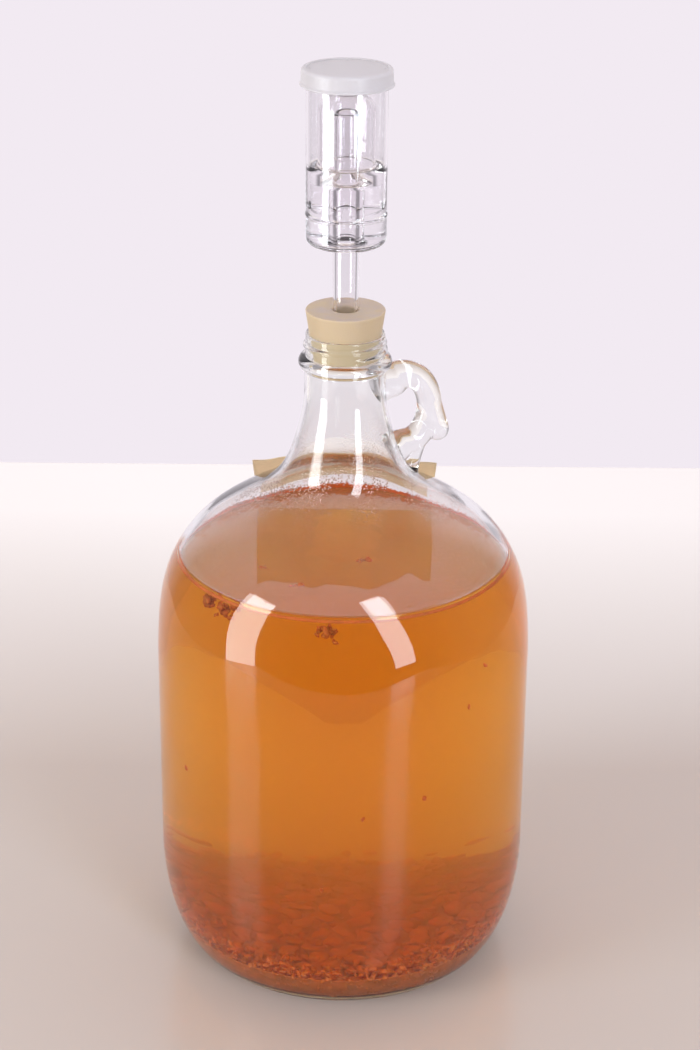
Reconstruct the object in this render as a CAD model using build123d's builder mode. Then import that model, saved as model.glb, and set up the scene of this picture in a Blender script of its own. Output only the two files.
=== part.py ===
"""Gallon fermentation jug with a drilled rubber stopper and a three-piece airlock.

The jug stands on the table at the origin with its axis along +Z. Its finger ring
is on the +X side and its paper labels are on the +Y side. All sizes are in millimetres.
"""

import math
import os

from build123d import *

# Glass jug, one moulding with its finger ring
jug_diameter = 168.6
jug_height = 299.0
glass_wall = 3.0
neck_wall = 2.0
floor_wall = 5.0
heel_width = 21.6  # elliptical heel, across
heel_height = 53.7  # elliptical heel, upward
bearing_width = 6.5  # flat ring that the jug stands on
punt_depth = 2.5  # hollow of the base inside the bearing ring
shoulder_height = 150.0  # where the straight wall ends
neck_drop = 24.5  # from the lip down to where the neck turns straight
neck_diameter = 35.4
mouth_diameter = 31.5
finish_diameter = 34.6  # glass between the threads
lip_radius = 0.6
bead_diameter = 40.8
bead_drop = 13.0  # from the lip down to the bead's middle
bead_depth = 6.2

# Shoulder outline between the neck's radius and the body's, share by share
shoulder_radius_shares = (1.0, 0.9925, 0.9264, 0.7177, 0.3889, 0.1727, 0.0571, 0.0)
shoulder_height_shares = (0.0, 0.100, 0.301, 0.470, 0.590, 0.679, 0.823, 1.0)
# Places along the shoulder at which the inner wall is set off from the outer one
inner_wall_shares = (0.0, 0.16, 0.30, 0.42, 0.54, 0.66, 0.78, 0.90, 1.0)
# How closely a place along the shoulder is searched for
share_step = 0.0001

# Screw thread of the finish
thread_diameter = 36.8
thread_width = 2.4
thread_pitch = 4.2
thread_turns = 1.25
thread_drop = 8.4  # from the lip down to the lower end
thread_start_angle = -80.0  # its two ends run out at the front

# Finger ring: a round bar that follows an ellipse in an upright plane beside the neck
ring_turn = 22.0  # from +X towards the back
ring_bar_diameter = 11.2
ring_stand_off = 5.55  # from the glass at the foot of the hole out to the ellipse's centre
ring_drop = 39.0  # from the lip down to the ellipse's centre
ring_half_width = 12.2
ring_half_height = 16.2
ring_start_angle = 128.0
ring_end_angle = -98.0
lug_diameter = 10.8
lug_out = 16.3  # from the ellipse's centre out to the lug's end
lug_down = 11.6  # from the ellipse's centre down to the lug's end
lug_root_angle = 4.0  # where the thumb lug leaves the ring's ellipse
strut_diameter = 9.6
strut_root_angle = -55.0  # where the strut to the shoulder leaves the ring's ellipse
strut_lean = 20.0  # from upright, inwards

# Drilled stopper
stopper_top_diameter = 34.5
stopper_bottom_diameter = 27.0
stopper_height = 25.4
stopper_edge = 0.5
stopper_clearance = 0.06  # between the stopper and the mouth, on the radius
bore_clearance = 0.05  # between the stem and the stopper's bore, on the radius
bore_mouth = 0.7  # rounding of the bore's upper edge

# Airlock body: stem, cup and riser in one moulding
stem_exposed = 29.2
stem_inserted = 20.8
stem_top_diameter = 11.5
stem_tip_diameter = 10.7
tube_wall = 1.3
riser_diameter = 11.2
riser_height = 57.0
cup_diameter = 34.4
cup_height = 73.6
cup_wall = 1.3
cup_floor = 2.2
cup_corner = 3.2
rim_bead_width = 0.6
rim_bead_height = 1.6
fill_ring_height = 13.0  # fine moulded ring round the cup
fill_ring_width = 0.25
fill_ring_depth = 0.7

# Airlock float, an inverted bell that hangs over the riser
float_diameter = 24.4
float_height = 49.7
float_wall = 0.9
float_crown_diameter = 11.0
float_shoulder_drop = 6.2  # from the crown down to the straight wall
float_lift = 5.9  # how far gas holds it above its seat
seat_clearance = 0.3
notch_width = 3.0
notch_height = 3.5
notch_count = 4

# Airlock cap
cap_diameter = 38.6
cap_flange_diameter = 39.9
cap_flange_depth = 1.2
cap_height = 7.4
cap_top_wall = 1.2
cap_edge = 1.4
cap_recess = 0.6
cap_recess_margin = 2.2
cap_clearance = 0.1  # between the cap's skirt and the cup's rim bead
vent_diameter = 1.2
vent_circle_diameter = 31.0
vent_count = 4

# Contents
liquid_level = 195.3
liquid_gap = 0.3  # between the contents and the wall that holds them
bed_thickness = 10.0
flake_length = 8.2
flake_width = 6.0
flake_thickness = 4.6  # the tallest, others are lower
flake_low_share = 0.6  # of that, the lowest
flake_steps = 3  # different heights
flake_count = 150
flake_wall_distance = 4.6  # centre to the glass
clump_diameter = 6.0
clump_depth = 6.0  # centre below the surface
clump_wall_distance = 5.4  # centre to the glass
clump_angles = (-95.2, -133.5, -142.6)
speck_diameter = 2.4
speck_wall_distance = 6.0
speck_angles = (-38.0, -45.7, -62.4, -83.0, -96.2, -150.6)
speck_level_shares = (0.835, 0.753, 0.557, 0.525, 0.341, 0.544)  # of the liquid's level
airlock_outer_level = 34.0  # above the cup's underside, outside the float
airlock_inner_level = 27.0  # above the cup's underside, inside the float
water_gap = 0.25

# Paper labels on the back, one round the shoulder and one on the body
label_thickness = 0.3
label_gap = 0.3
shoulder_label_width = 84.0
shoulder_label_ease = 18.4  # how much wider its lower edge bends than the glass there
shoulder_label_opening = 32.0  # how much wider still its free upper edge bends
shoulder_label_low_share = 0.40  # of the shoulder's length, where it starts
shoulder_label_high_share = 0.685  # of the shoulder's length, where it ends
shoulder_label_steps = 7  # sections along the shoulder
body_label_width = 96.0
body_label_bottom = 88.0
body_label_top = 148.0
body_label_point_height = 54.0  # height of the pointed lower end
body_label_point_width = 8.0

# One overrun for every cut
overrun = 5.0

body_radius = jug_diameter / 2
neck_radius = neck_diameter / 2
mouth_radius = mouth_diameter / 2
finish_radius = finish_diameter / 2
base_radius = body_radius - heel_width
neck_height = jug_height - neck_drop
bead_height = jug_height - bead_drop
quarter_turn = 90.0


def shoulder_points():
    """Points of the outer shoulder, from the body's top to the neck."""
    width = body_radius - neck_radius
    height = neck_height - shoulder_height
    return [
        (neck_radius + width * across, shoulder_height + height * up)
        for across, up in zip(shoulder_radius_shares, shoulder_height_shares)
    ]


outer_shoulder = Edge.make_spline(
    [Vector(x, z) for x, z in shoulder_points()],
    tangents=[Vector(0, 1), Vector(0, 1)],
)


def shoulder_wall(share, inset):
    """Point of the inner wall at a share of the outer shoulder's length."""
    place = outer_shoulder @ share
    along = outer_shoulder % share
    off = glass_wall + (neck_wall - glass_wall) * share + inset
    return (place.X - along.Y * off, place.Y + along.X * off)


def cavity_outline(inset):
    """Closed half outline of the jug's inside, drawn smaller by an inset."""
    wall = [shoulder_wall(share, inset) for share in inner_wall_shares]
    wall_radius = wall[0][0]
    inner_base = base_radius - glass_wall / 2
    floor = floor_wall + inset
    top = jug_height + overrun
    Line((0, floor), (inner_base, floor))
    EllipticalCenterArc(
        (inner_base, heel_height),
        wall_radius - inner_base,
        heel_height - floor,
        start_angle=-quarter_turn,
        arc_size=quarter_turn,
    )
    Line((wall_radius, heel_height), wall[0])
    Spline(*wall, tangents=((0, 1), (0, 1)))
    Polyline(wall[-1], (wall[-1][0], top), (0, top), (0, floor))


def radius_at(height, wall):
    """Radius at a height of a shoulder wall, which gives a place for each share of its length."""
    low, high = 0.0, 1.0
    while high - low > share_step:
        middle = (low + high) / 2
        if wall(middle)[1] < height:
            low = middle
        else:
            high = middle
    return wall(low)[0]


def outer_radius(height):
    """Radius of the shoulder's outside at a height."""
    return radius_at(height, lambda share: tuple(outer_shoulder @ share))


def inner_radius(height, inset):
    """Radius of the jug's inside at a height, drawn smaller by an inset."""
    if height > shoulder_height:
        return radius_at(height, lambda share: shoulder_wall(share, inset))
    wall_radius = body_radius - glass_wall - inset
    inner_base = base_radius - glass_wall / 2
    rise = max(heel_height - height, 0) / (heel_height - floor_wall - inset)
    return inner_base + (wall_radius - inner_base) * math.sqrt(1 - rise**2)


# Finger ring, in its own upright plane; its roots run on inwards until the jug's inside cuts them
ring_height = jug_height - ring_drop
ring_hole_foot = ring_height - ring_half_height + ring_bar_diameter / 2
ring_reach = outer_radius(ring_hole_foot) + ring_stand_off
ring_away = Vector(math.cos(math.radians(ring_turn)), math.sin(math.radians(ring_turn)), 0)
ring_plane = Plane(
    origin=ring_away * ring_reach + Vector(0, 0, ring_height),
    x_dir=ring_away,
    z_dir=Vector(ring_away.Y, -ring_away.X, 0),
)
lug_angle = math.radians(lug_root_angle)
lug_root = ring_plane.from_local_coords(
    Vector(ring_half_width * math.cos(lug_angle), ring_half_height * math.sin(lug_angle), 0)
)
lug_centre = ring_plane.from_local_coords(Vector(lug_out, -lug_down, 0))
strut_angle = math.radians(strut_root_angle)
strut_root = ring_plane.from_local_coords(
    Vector(ring_half_width * math.cos(strut_angle), ring_half_height * math.sin(strut_angle), 0)
)
strut_inwards = math.sin(math.radians(strut_lean))
strut_down = math.cos(math.radians(strut_lean))
strut_way = ring_away * -strut_inwards + Vector(0, 0, -strut_down)
thread_depth = (thread_diameter - finish_diameter) / 2
thread_root = finish_radius - thread_depth / 2

with BuildPart() as glass_jug:
    with BuildSketch(Plane.XZ):
        with BuildLine():
            punt_radius = base_radius - bearing_width
            ThreePointArc(
                (0, punt_depth),
                (punt_radius / 2, punt_depth * 3 / 4),
                (punt_radius, 0),
            )
            Line((punt_radius, 0), (base_radius, 0))
            EllipticalCenterArc(
                (base_radius, heel_height),
                heel_width,
                heel_height,
                start_angle=-quarter_turn,
                arc_size=quarter_turn,
            )
            Line((body_radius, heel_height), (body_radius, shoulder_height))
            Spline(*shoulder_points(), tangents=((0, 1), (0, 1)))
            Line((neck_radius, neck_height), (neck_radius, bead_height - bead_depth / 2))
            ThreePointArc(
                (neck_radius, bead_height - bead_depth / 2),
                (bead_diameter / 2, bead_height),
                (finish_radius, bead_height + bead_depth / 2),
            )
            Polyline(
                (finish_radius, bead_height + bead_depth / 2),
                (finish_radius, jug_height),
                (0, jug_height),
                (0, punt_depth),
            )
        make_face()
    revolve(axis=Axis.Z)

    # The finger ring's bar, its thumb lug and the strut from the ring down to the shoulder
    with BuildLine(ring_plane) as ring_path:
        ring_arc = EllipticalCenterArc(
            (0, 0),
            ring_half_width,
            ring_half_height,
            start_angle=ring_end_angle,
            arc_size=ring_start_angle - ring_end_angle,
        )
        Line(ring_arc @ 0 - (ring_arc % 0) * ring_reach, ring_arc @ 0)
        Line(ring_arc @ 1, ring_arc @ 1 + (ring_arc % 1) * ring_reach)
    with BuildSketch(Plane(ring_path.line @ 0, z_dir=ring_path.line % 0)):
        Circle(ring_bar_diameter / 2)
    sweep(path=ring_path.line)
    with BuildSketch(Plane(lug_root, z_dir=lug_centre - lug_root)):
        Circle(lug_diameter / 2)
    extrude(amount=(lug_centre - lug_root).length)
    with Locations(lug_centre):
        Sphere(lug_diameter / 2)
    with BuildSketch(Plane(strut_root, z_dir=strut_way)):
        Circle(strut_diameter / 2)
    extrude(amount=ring_reach)

    # One thread, with its root sunk into the glass of the finish
    thread_start = Plane.XY.offset(jug_height - thread_drop).rotated((0, 0, thread_start_angle))
    with BuildLine(thread_start) as thread_path:
        Helix(pitch=thread_pitch, height=thread_pitch * thread_turns, radius=thread_root)
    thread_plane = Plane(
        thread_path.line @ 0,
        x_dir=thread_start.x_dir,
        z_dir=thread_path.line % 0,
    )
    with BuildSketch(thread_plane):
        with BuildLine():
            Polyline(
                (0, -thread_width / 2),
                (thread_diameter / 2 - thread_root, -thread_width / 5),
                (thread_diameter / 2 - thread_root, thread_width / 5),
                (0, thread_width / 2),
                close=True,
            )
        make_face()
    sweep(path=thread_path.line, is_frenet=True)

    with BuildSketch(Plane.XZ):
        with BuildLine():
            cavity_outline(0)
        make_face()
    revolve(axis=Axis.Z, mode=Mode.SUBTRACT)
    with BuildSketch(Plane.XY.offset(neck_height)):
        Circle(mouth_radius)
    extrude(amount=jug_height - neck_height + overrun, mode=Mode.SUBTRACT)
    lip = glass_jug.edges().filter_by(GeomType.CIRCLE).group_by(Axis.Z)[-1]
    fillet(lip, radius=lip_radius)

# Rubber stopper, seated where its taper meets the mouth's edge
stopper_taper = (stopper_top_diameter - stopper_bottom_diameter) / 2 / stopper_height
stopper_seat_radius = mouth_radius - stopper_clearance
stopper_proud = (stopper_top_diameter / 2 - stopper_seat_radius) / stopper_taper
stopper_top = jug_height + stopper_proud
stopper_bottom = stopper_top - stopper_height

cup_underside = stopper_top + stem_exposed
stem_tip = stopper_top - stem_inserted
stem_length = stem_exposed + stem_inserted
stem_taper = (stem_top_diameter - stem_tip_diameter) / 2 / stem_length
bore_tip_radius = stem_tip_diameter / 2 + bore_clearance
bore_top_radius = bore_tip_radius + stem_taper * stem_inserted

with BuildPart() as rubber_stopper:
    with BuildSketch(Plane.XZ):
        with BuildLine():
            Polyline(
                (bore_tip_radius, stopper_bottom),
                (stopper_bottom_diameter / 2, stopper_bottom),
                (stopper_top_diameter / 2, stopper_top),
                (bore_top_radius, stopper_top),
                (bore_tip_radius, stem_tip),
                close=True,
            )
        make_face()
    revolve(axis=Axis.Z)
    rims = rubber_stopper.edges().filter_by(GeomType.CIRCLE)
    outer_rims = rims.filter_by(lambda rim: rim.radius > stopper_bottom_diameter / 2 - stopper_edge)
    fillet(outer_rims, radius=stopper_edge)
    bore_rim = rubber_stopper.edges().filter_by(GeomType.CIRCLE).group_by(Axis.Z)[-1]
    fillet(bore_rim.sort_by(SortBy.RADIUS)[0], radius=bore_mouth)

# Airlock body: the stem, the cup and the riser, with one gas way through them
cup_radius = cup_diameter / 2
cup_inside = cup_radius - cup_wall
cup_top = cup_underside + cup_height
cup_floor_top = cup_underside + cup_floor
riser_radius = riser_diameter / 2
riser_top = cup_underside + riser_height

with BuildPart() as airlock_body:
    with BuildSketch(Plane.XZ):
        with BuildLine():
            Polyline(
                (0, cup_underside),
                (cup_radius, cup_underside),
                (cup_radius, cup_top),
                (cup_inside, cup_top),
                (cup_inside, cup_floor_top),
                (0, cup_floor_top),
                close=True,
            )
        make_face()
    revolve(axis=Axis.Z)
    cup_edges = airlock_body.edges().filter_by(GeomType.CIRCLE).group_by(Axis.Z)
    fillet(cup_edges[0], radius=cup_corner)
    fillet(cup_edges[1], radius=cup_corner - cup_wall)
    with BuildSketch(Plane.XZ):
        with BuildLine():
            Polyline(
                (0, stem_tip),
                (stem_tip_diameter / 2, stem_tip),
                (stem_top_diameter / 2, cup_underside),
                (riser_radius, cup_floor_top),
                (riser_radius, riser_top),
                (0, riser_top),
                close=True,
            )
        make_face()
    revolve(axis=Axis.Z)
    with BuildSketch(Plane.XZ):
        with BuildLine():
            Polyline(
                (0, stem_tip - overrun),
                (stem_tip_diameter / 2 - tube_wall, stem_tip - overrun),
                (stem_tip_diameter / 2 - tube_wall, stem_tip),
                (riser_radius - tube_wall, cup_underside),
                (riser_radius - tube_wall, riser_top + overrun),
                (0, riser_top + overrun),
                close=True,
            )
        make_face()
    revolve(axis=Axis.Z, mode=Mode.SUBTRACT)
    rim_bead_outline = (
        (cup_radius - cup_wall / 2, cup_top - rim_bead_height),
        (cup_radius, cup_top - rim_bead_height),
        (cup_radius + rim_bead_width, cup_top - rim_bead_height / 2),
        (cup_radius + rim_bead_width, cup_top),
        (cup_radius - cup_wall / 2, cup_top),
    )
    fill_ring_centre = cup_underside + fill_ring_height
    fill_ring_outline = (
        (cup_radius - cup_wall / 2, fill_ring_centre - fill_ring_depth / 2),
        (cup_radius, fill_ring_centre - fill_ring_depth / 2),
        (cup_radius + fill_ring_width, fill_ring_centre),
        (cup_radius, fill_ring_centre + fill_ring_depth / 2),
        (cup_radius - cup_wall / 2, fill_ring_centre + fill_ring_depth / 2),
    )
    for outline in (rim_bead_outline, fill_ring_outline):
        with BuildSketch(Plane.XZ):
            with BuildLine():
                Polyline(*outline, close=True)
            make_face()
        revolve(axis=Axis.Z)

# Airlock float, held above its seat on the riser's end
float_radius = float_diameter / 2
float_inside = float_radius - float_wall
crown_radius = float_crown_diameter / 2
crown_inside = crown_radius - float_wall / 2
cone_slope = float_shoulder_drop / (float_inside - crown_inside)
seat_drop = max(riser_radius - crown_inside, 0) * cone_slope  # from the crown to its seat
float_top = riser_top + seat_clearance + float_lift + float_wall + seat_drop
float_bottom = float_top - float_height

with BuildPart() as airlock_float:
    with BuildSketch(Plane.XZ):
        with BuildLine():
            Polyline(
                (0, float_top),
                (crown_radius, float_top),
                (float_radius, float_top - float_shoulder_drop),
                (float_radius, float_bottom),
                (float_inside, float_bottom),
                (float_inside, float_top - float_shoulder_drop - float_wall),
                (crown_inside, float_top - float_wall),
                (0, float_top - float_wall),
                close=True,
            )
        make_face()
    revolve(axis=Axis.Z)
    with BuildSketch(Plane.XY.offset(float_bottom)):
        with PolarLocations(float_radius, notch_count):
            Rectangle(float_wall * 4, notch_width)
    extrude(amount=notch_height, mode=Mode.SUBTRACT)

# Airlock cap, snapped over the rim bead
cap_top = cup_top + cap_top_wall + cap_recess
cap_bottom = cap_top - cap_height
cap_inside = cup_radius + rim_bead_width + cap_clearance
cap_radius = cap_diameter / 2

with BuildPart() as airlock_cap:
    with BuildSketch(Plane.XY.offset(cap_bottom)):
        Circle(cap_radius)
    extrude(amount=cap_height)
    fillet(airlock_cap.edges().group_by(Axis.Z)[-1], radius=cap_edge)
    with BuildSketch(Plane.XY.offset(cap_bottom)):
        Circle(cap_flange_diameter / 2)
    extrude(amount=cap_flange_depth)
    with BuildSketch(Plane.XY.offset(cap_top)):
        Circle(cap_radius - cap_recess_margin)
    extrude(amount=-cap_recess, mode=Mode.SUBTRACT)
    with BuildSketch(Plane.XY.offset(cap_bottom)):
        Circle(cap_inside)
    extrude(amount=cup_top - cap_bottom, mode=Mode.SUBTRACT)
    with BuildSketch(Plane.XY.offset(cap_top)):
        with PolarLocations(vent_circle_diameter / 2, vent_count):
            Circle(vent_diameter / 2)
    extrude(amount=-cap_height, mode=Mode.SUBTRACT)

# Water in the airlock, with the groove that the float's skirt rides in
groove_bottom = float_bottom - float_lift - water_gap
outer_level = cup_underside + airlock_outer_level
inner_level = cup_underside + airlock_inner_level

with BuildPart() as airlock_water:
    with BuildSketch(Plane.XZ):
        with BuildLine():
            Polyline(
                (riser_radius + water_gap, cup_floor_top + water_gap),
                (cup_inside - cup_corner + cup_wall, cup_floor_top + water_gap),
                (cup_inside - water_gap, cup_floor_top + cup_corner - cup_wall + water_gap),
                (cup_inside - water_gap, outer_level),
                (float_radius + water_gap, outer_level),
                (float_radius + water_gap, groove_bottom),
                (float_inside - water_gap, groove_bottom),
                (float_inside - water_gap, inner_level),
                (riser_radius + water_gap, inner_level),
                close=True,
            )
        make_face()
    revolve(axis=Axis.Z)

# Pulp on the jug's floor: the settled bed and the flakes that lie on it
bed_bottom = floor_wall + liquid_gap
bed_top = bed_bottom + bed_thickness
flake_bottom = bed_top + liquid_gap / 2
brew_bottom = flake_bottom + flake_thickness + liquid_gap

with BuildPart() as pulp_bed:
    with BuildSketch(Plane.XZ):
        with BuildLine():
            cavity_outline(liquid_gap)
        make_face()
    revolve(axis=Axis.Z)
    split(bisect_by=Plane.XY.offset(bed_top), keep=Keep.BOTTOM)

golden_angle = 137.508
flake_field_radius = inner_radius(flake_bottom, 0) - flake_wall_distance


def flake_place(number):
    """Place of a flake on the bed: flakes spread evenly along a spiral, each with its own turn."""
    away = flake_field_radius * math.sqrt((number + 1) / flake_count)
    turn = golden_angle * number
    angle = math.radians(turn)
    return Location((away * math.cos(angle), away * math.sin(angle), 0), (0, 0, turn * number))


with BuildPart() as pulp_flakes:
    for step in range(flake_steps):
        with BuildSketch(Plane.XY.offset(flake_bottom)):
            for number in range(step, flake_count, flake_steps):
                with Locations(flake_place(number)):
                    Ellipse(flake_length / 2, flake_width / 2)
        lower_share = (1 - flake_low_share) * step / (flake_steps - 1)
        extrude(amount=flake_thickness * (1 - lower_share))

# Clumps that float just under the surface, and specks that drift in the brew
clump_level = liquid_level - clump_depth
clump_radius_from_axis = inner_radius(clump_level, clump_wall_distance)
clump_places = [
    (
        clump_radius_from_axis * math.cos(math.radians(angle)),
        clump_radius_from_axis * math.sin(math.radians(angle)),
        clump_level,
    )
    for angle in clump_angles
]
speck_places = []
for angle, level_share in zip(speck_angles, speck_level_shares):
    speck_level = liquid_level * level_share
    away = inner_radius(speck_level, liquid_gap) - speck_wall_distance
    speck_places.append(
        (
            away * math.cos(math.radians(angle)),
            away * math.sin(math.radians(angle)),
            speck_level,
        )
    )

with BuildPart() as floating_clumps:
    with Locations(*clump_places):
        Sphere(clump_diameter / 2)

with BuildPart() as drifting_specks:
    with Locations(*speck_places):
        Sphere(speck_diameter / 2)

# The brew, from the flakes up to its surface
with BuildPart() as brew:
    with BuildSketch(Plane.XZ):
        with BuildLine():
            cavity_outline(liquid_gap)
        make_face()
    revolve(axis=Axis.Z)
    split(bisect_by=Plane.XY.offset(liquid_level), keep=Keep.BOTTOM)
    split(bisect_by=Plane.XY.offset(brew_bottom), keep=Keep.TOP)
    with Locations(*clump_places):
        Sphere(clump_diameter / 2 + liquid_gap, mode=Mode.SUBTRACT)
    with Locations(*speck_places):
        Sphere(speck_diameter / 2 + liquid_gap, mode=Mode.SUBTRACT)

# Shoulder label, whose upper corners stand free of the glass
label_off = label_gap + label_thickness / 2
shoulder_label_span = shoulder_label_high_share - shoulder_label_low_share
glass_bend = (outer_shoulder @ shoulder_label_low_share).X / (
    outer_shoulder % shoulder_label_low_share
).Y

with BuildPart() as shoulder_label:
    for step in range(shoulder_label_steps + 1):
        share = shoulder_label_low_share + shoulder_label_span * step / shoulder_label_steps
        spot = outer_shoulder @ share
        along = outer_shoulder % share
        section_plane = Plane(
            Vector(0, spot.X + along.Y * label_off, spot.Y - along.X * label_off),
            x_dir=Vector(0, along.Y, -along.X),
            z_dir=Vector(0, along.X, along.Y),
        )
        opening = shoulder_label_opening * step / shoulder_label_steps
        bend = glass_bend + shoulder_label_ease + opening
        half_turn = math.degrees(math.asin(shoulder_label_width / 2 / bend))
        with BuildSketch(section_plane):
            with BuildLine():
                near = CenterArc(
                    (-bend, 0), bend - label_thickness / 2, -half_turn, 2 * half_turn
                )
                far = CenterArc(
                    (-bend, 0), bend + label_thickness / 2, -half_turn, 2 * half_turn
                )
                Line(near @ 0, far @ 0)
                Line(near @ 1, far @ 1)
            make_face()
    loft(ruled=True)

# Body label, whose lower end runs to a blunt point
with BuildPart() as body_label:
    body_label_inside = body_radius + label_gap
    with BuildSketch(Plane.XY.offset(body_label_bottom)):
        Circle(body_label_inside + label_thickness)
        Circle(body_label_inside, mode=Mode.SUBTRACT)
        with Locations((0, body_radius)):
            Rectangle(body_label_width, body_radius * 2, mode=Mode.INTERSECT)
    extrude(amount=body_label_top - body_label_bottom)
    with BuildSketch(Plane.XZ.offset(-body_radius * 2)):
        with BuildLine():
            Polyline(
                (body_label_point_width / 2, body_label_bottom - overrun),
                (body_label_point_width / 2, body_label_bottom),
                (body_label_width / 2 + overrun, body_label_bottom + body_label_point_height),
                (body_label_width / 2 + overrun, body_label_bottom - overrun),
                close=True,
            )
        make_face()
        mirror(about=Plane.YZ)
    extrude(amount=body_radius * 2, mode=Mode.SUBTRACT)

pieces = {
    "glass_jug": glass_jug,
    "rubber_stopper": rubber_stopper,
    "airlock_body": airlock_body,
    "airlock_float": airlock_float,
    "airlock_cap": airlock_cap,
    "airlock_water": airlock_water,
    "pulp_bed": pulp_bed,
    "pulp_flakes": pulp_flakes,
    "floating_clumps": floating_clumps,
    "drifting_specks": drifting_specks,
    "brew": brew,
    "shoulder_label": shoulder_label,
    "body_label": body_label,
}

os.makedirs("parts", exist_ok=True)
for name, piece in pieces.items():
    piece.part.label = name
    export_step(piece.part, f"parts/{name}.step")
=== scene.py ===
"""Looks of a gallon fermentation jug with its stopper, airlock, brew and labels.

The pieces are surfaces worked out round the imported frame, in metres, and every piece
stands where its CAD node stands.
"""

import math
from functools import partial

import bpy
import numpy as np
from mathutils import Matrix, Vector


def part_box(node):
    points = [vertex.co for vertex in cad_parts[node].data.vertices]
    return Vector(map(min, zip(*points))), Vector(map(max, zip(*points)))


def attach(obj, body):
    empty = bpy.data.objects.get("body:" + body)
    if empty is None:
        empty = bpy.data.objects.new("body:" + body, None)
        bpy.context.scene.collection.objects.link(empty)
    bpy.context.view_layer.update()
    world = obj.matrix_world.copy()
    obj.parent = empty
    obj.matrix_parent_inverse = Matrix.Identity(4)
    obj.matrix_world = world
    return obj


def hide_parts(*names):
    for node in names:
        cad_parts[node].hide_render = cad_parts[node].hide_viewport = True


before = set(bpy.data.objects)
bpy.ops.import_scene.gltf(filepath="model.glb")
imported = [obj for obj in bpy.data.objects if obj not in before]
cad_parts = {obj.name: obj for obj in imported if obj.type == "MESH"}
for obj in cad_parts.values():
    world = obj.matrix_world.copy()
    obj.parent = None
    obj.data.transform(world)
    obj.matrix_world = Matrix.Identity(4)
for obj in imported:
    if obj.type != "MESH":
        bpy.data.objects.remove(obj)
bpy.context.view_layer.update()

bl_info = {
    "name": "Fermentation jug with airlock",
    "version": (1, 0, 0),
    "blender": (4, 5, 0),
    "location": "3D View > Sidebar > Jug",
    "description": "Glass jug, stopper, airlock, brew and labels round the packed frame",
    "category": "Object",
}

MM = 0.001
TAU = 2 * math.pi
TURN_STEPS = 240  # facets round the jug
SMALL_TURN_STEPS = 128  # facets round the airlock

# Shoulder outline between the neck's radius and the body's, share by share
SHOULDER_RADIUS_SHARES = (1.0, 0.9925, 0.9264, 0.7177, 0.3889, 0.1727, 0.0571, 0.0)
SHOULDER_HEIGHT_SHARES = (0.0, 0.100, 0.301, 0.470, 0.590, 0.679, 0.823, 1.0)


def linear(code):
    """Linear colour of an sRGB hex code: (c + 0.055) / 1.055 to the 2.4, or c / 12.92 when dark."""
    parts = [int(code[i : i + 2], 16) / 255 for i in (1, 3, 5)]
    return tuple(c / 12.92 if c <= 0.04045 else ((c + 0.055) / 1.055) ** 2.4 for c in parts) + (1.0,)


def length(name, description, millimetres):
    """A length that a user can change, stored in metres."""
    return bpy.props.FloatProperty(
        name=name, description=description, default=millimetres * MM, min=0, unit="LENGTH", precision=4
    )


def colour(name, description, code):
    """A colour that a user can change."""
    return bpy.props.FloatVectorProperty(
        name=name, description=description, default=linear(code), size=4, min=0, max=1, subtype="COLOR"
    )


class JugSizes(bpy.types.PropertyGroup):
    """Sizes of the jug and of its contents."""

    jug_diameter: length("Jug diameter", "Across the straight body", 168.6)
    jug_height: length("Jug height", "From the table to the lip", 299.0)
    glass_wall: length("Glass wall", "Wall of the body", 3.0)
    neck_wall: length("Neck wall", "Wall of the neck", 2.0)
    floor_wall: length("Floor", "Thickness of the jug's floor", 5.0)
    heel_width: length("Heel width", "Elliptical heel, across", 21.6)
    heel_height: length("Heel height", "Elliptical heel, upward", 53.7)
    shoulder_height: length("Shoulder", "Height at which the straight wall ends", 150.0)
    neck_diameter: length("Neck diameter", "Narrowest place under the bead", 35.4)
    mouth_diameter: length("Mouth", "Clear opening", 31.5)
    finish_diameter: length("Finish", "Glass between the threads", 34.6)
    bead_diameter: length("Bead", "Across the transfer bead", 40.8)
    liquid_level: length("Liquid level", "Height of the brew's surface", 195.3)


class AirlockSizes(bpy.types.PropertyGroup):
    """Sizes of the stopper and the airlock."""

    stopper_top_diameter: length("Stopper top", "Across the stopper's top", 34.5)
    stopper_bottom_diameter: length("Stopper bottom", "Across the stopper's lower end", 27.0)
    stopper_height: length("Stopper height", "Top to bottom", 25.4)
    cup_diameter: length("Cup diameter", "Across the airlock's cup", 34.4)
    cup_height: length("Cup height", "Underside to rim", 73.6)
    cup_wall: length("Cup wall", "Wall of the cup", 1.3)
    riser_height: length("Riser height", "From the cup's underside", 57.0)
    float_diameter: length("Float diameter", "Across the inverted bell", 24.4)
    float_height: length("Float height", "Crown to skirt", 49.7)
    float_wall: length("Float wall", "Wall of the bell", 0.9)
    cap_diameter: length("Cap diameter", "Across the cap's side", 38.6)
    outer_level: length("Outer water level", "Above the cup's underside", 34.0)
    inner_level: length("Inner water level", "Above the cup's underside, in the float", 27.0)


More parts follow.
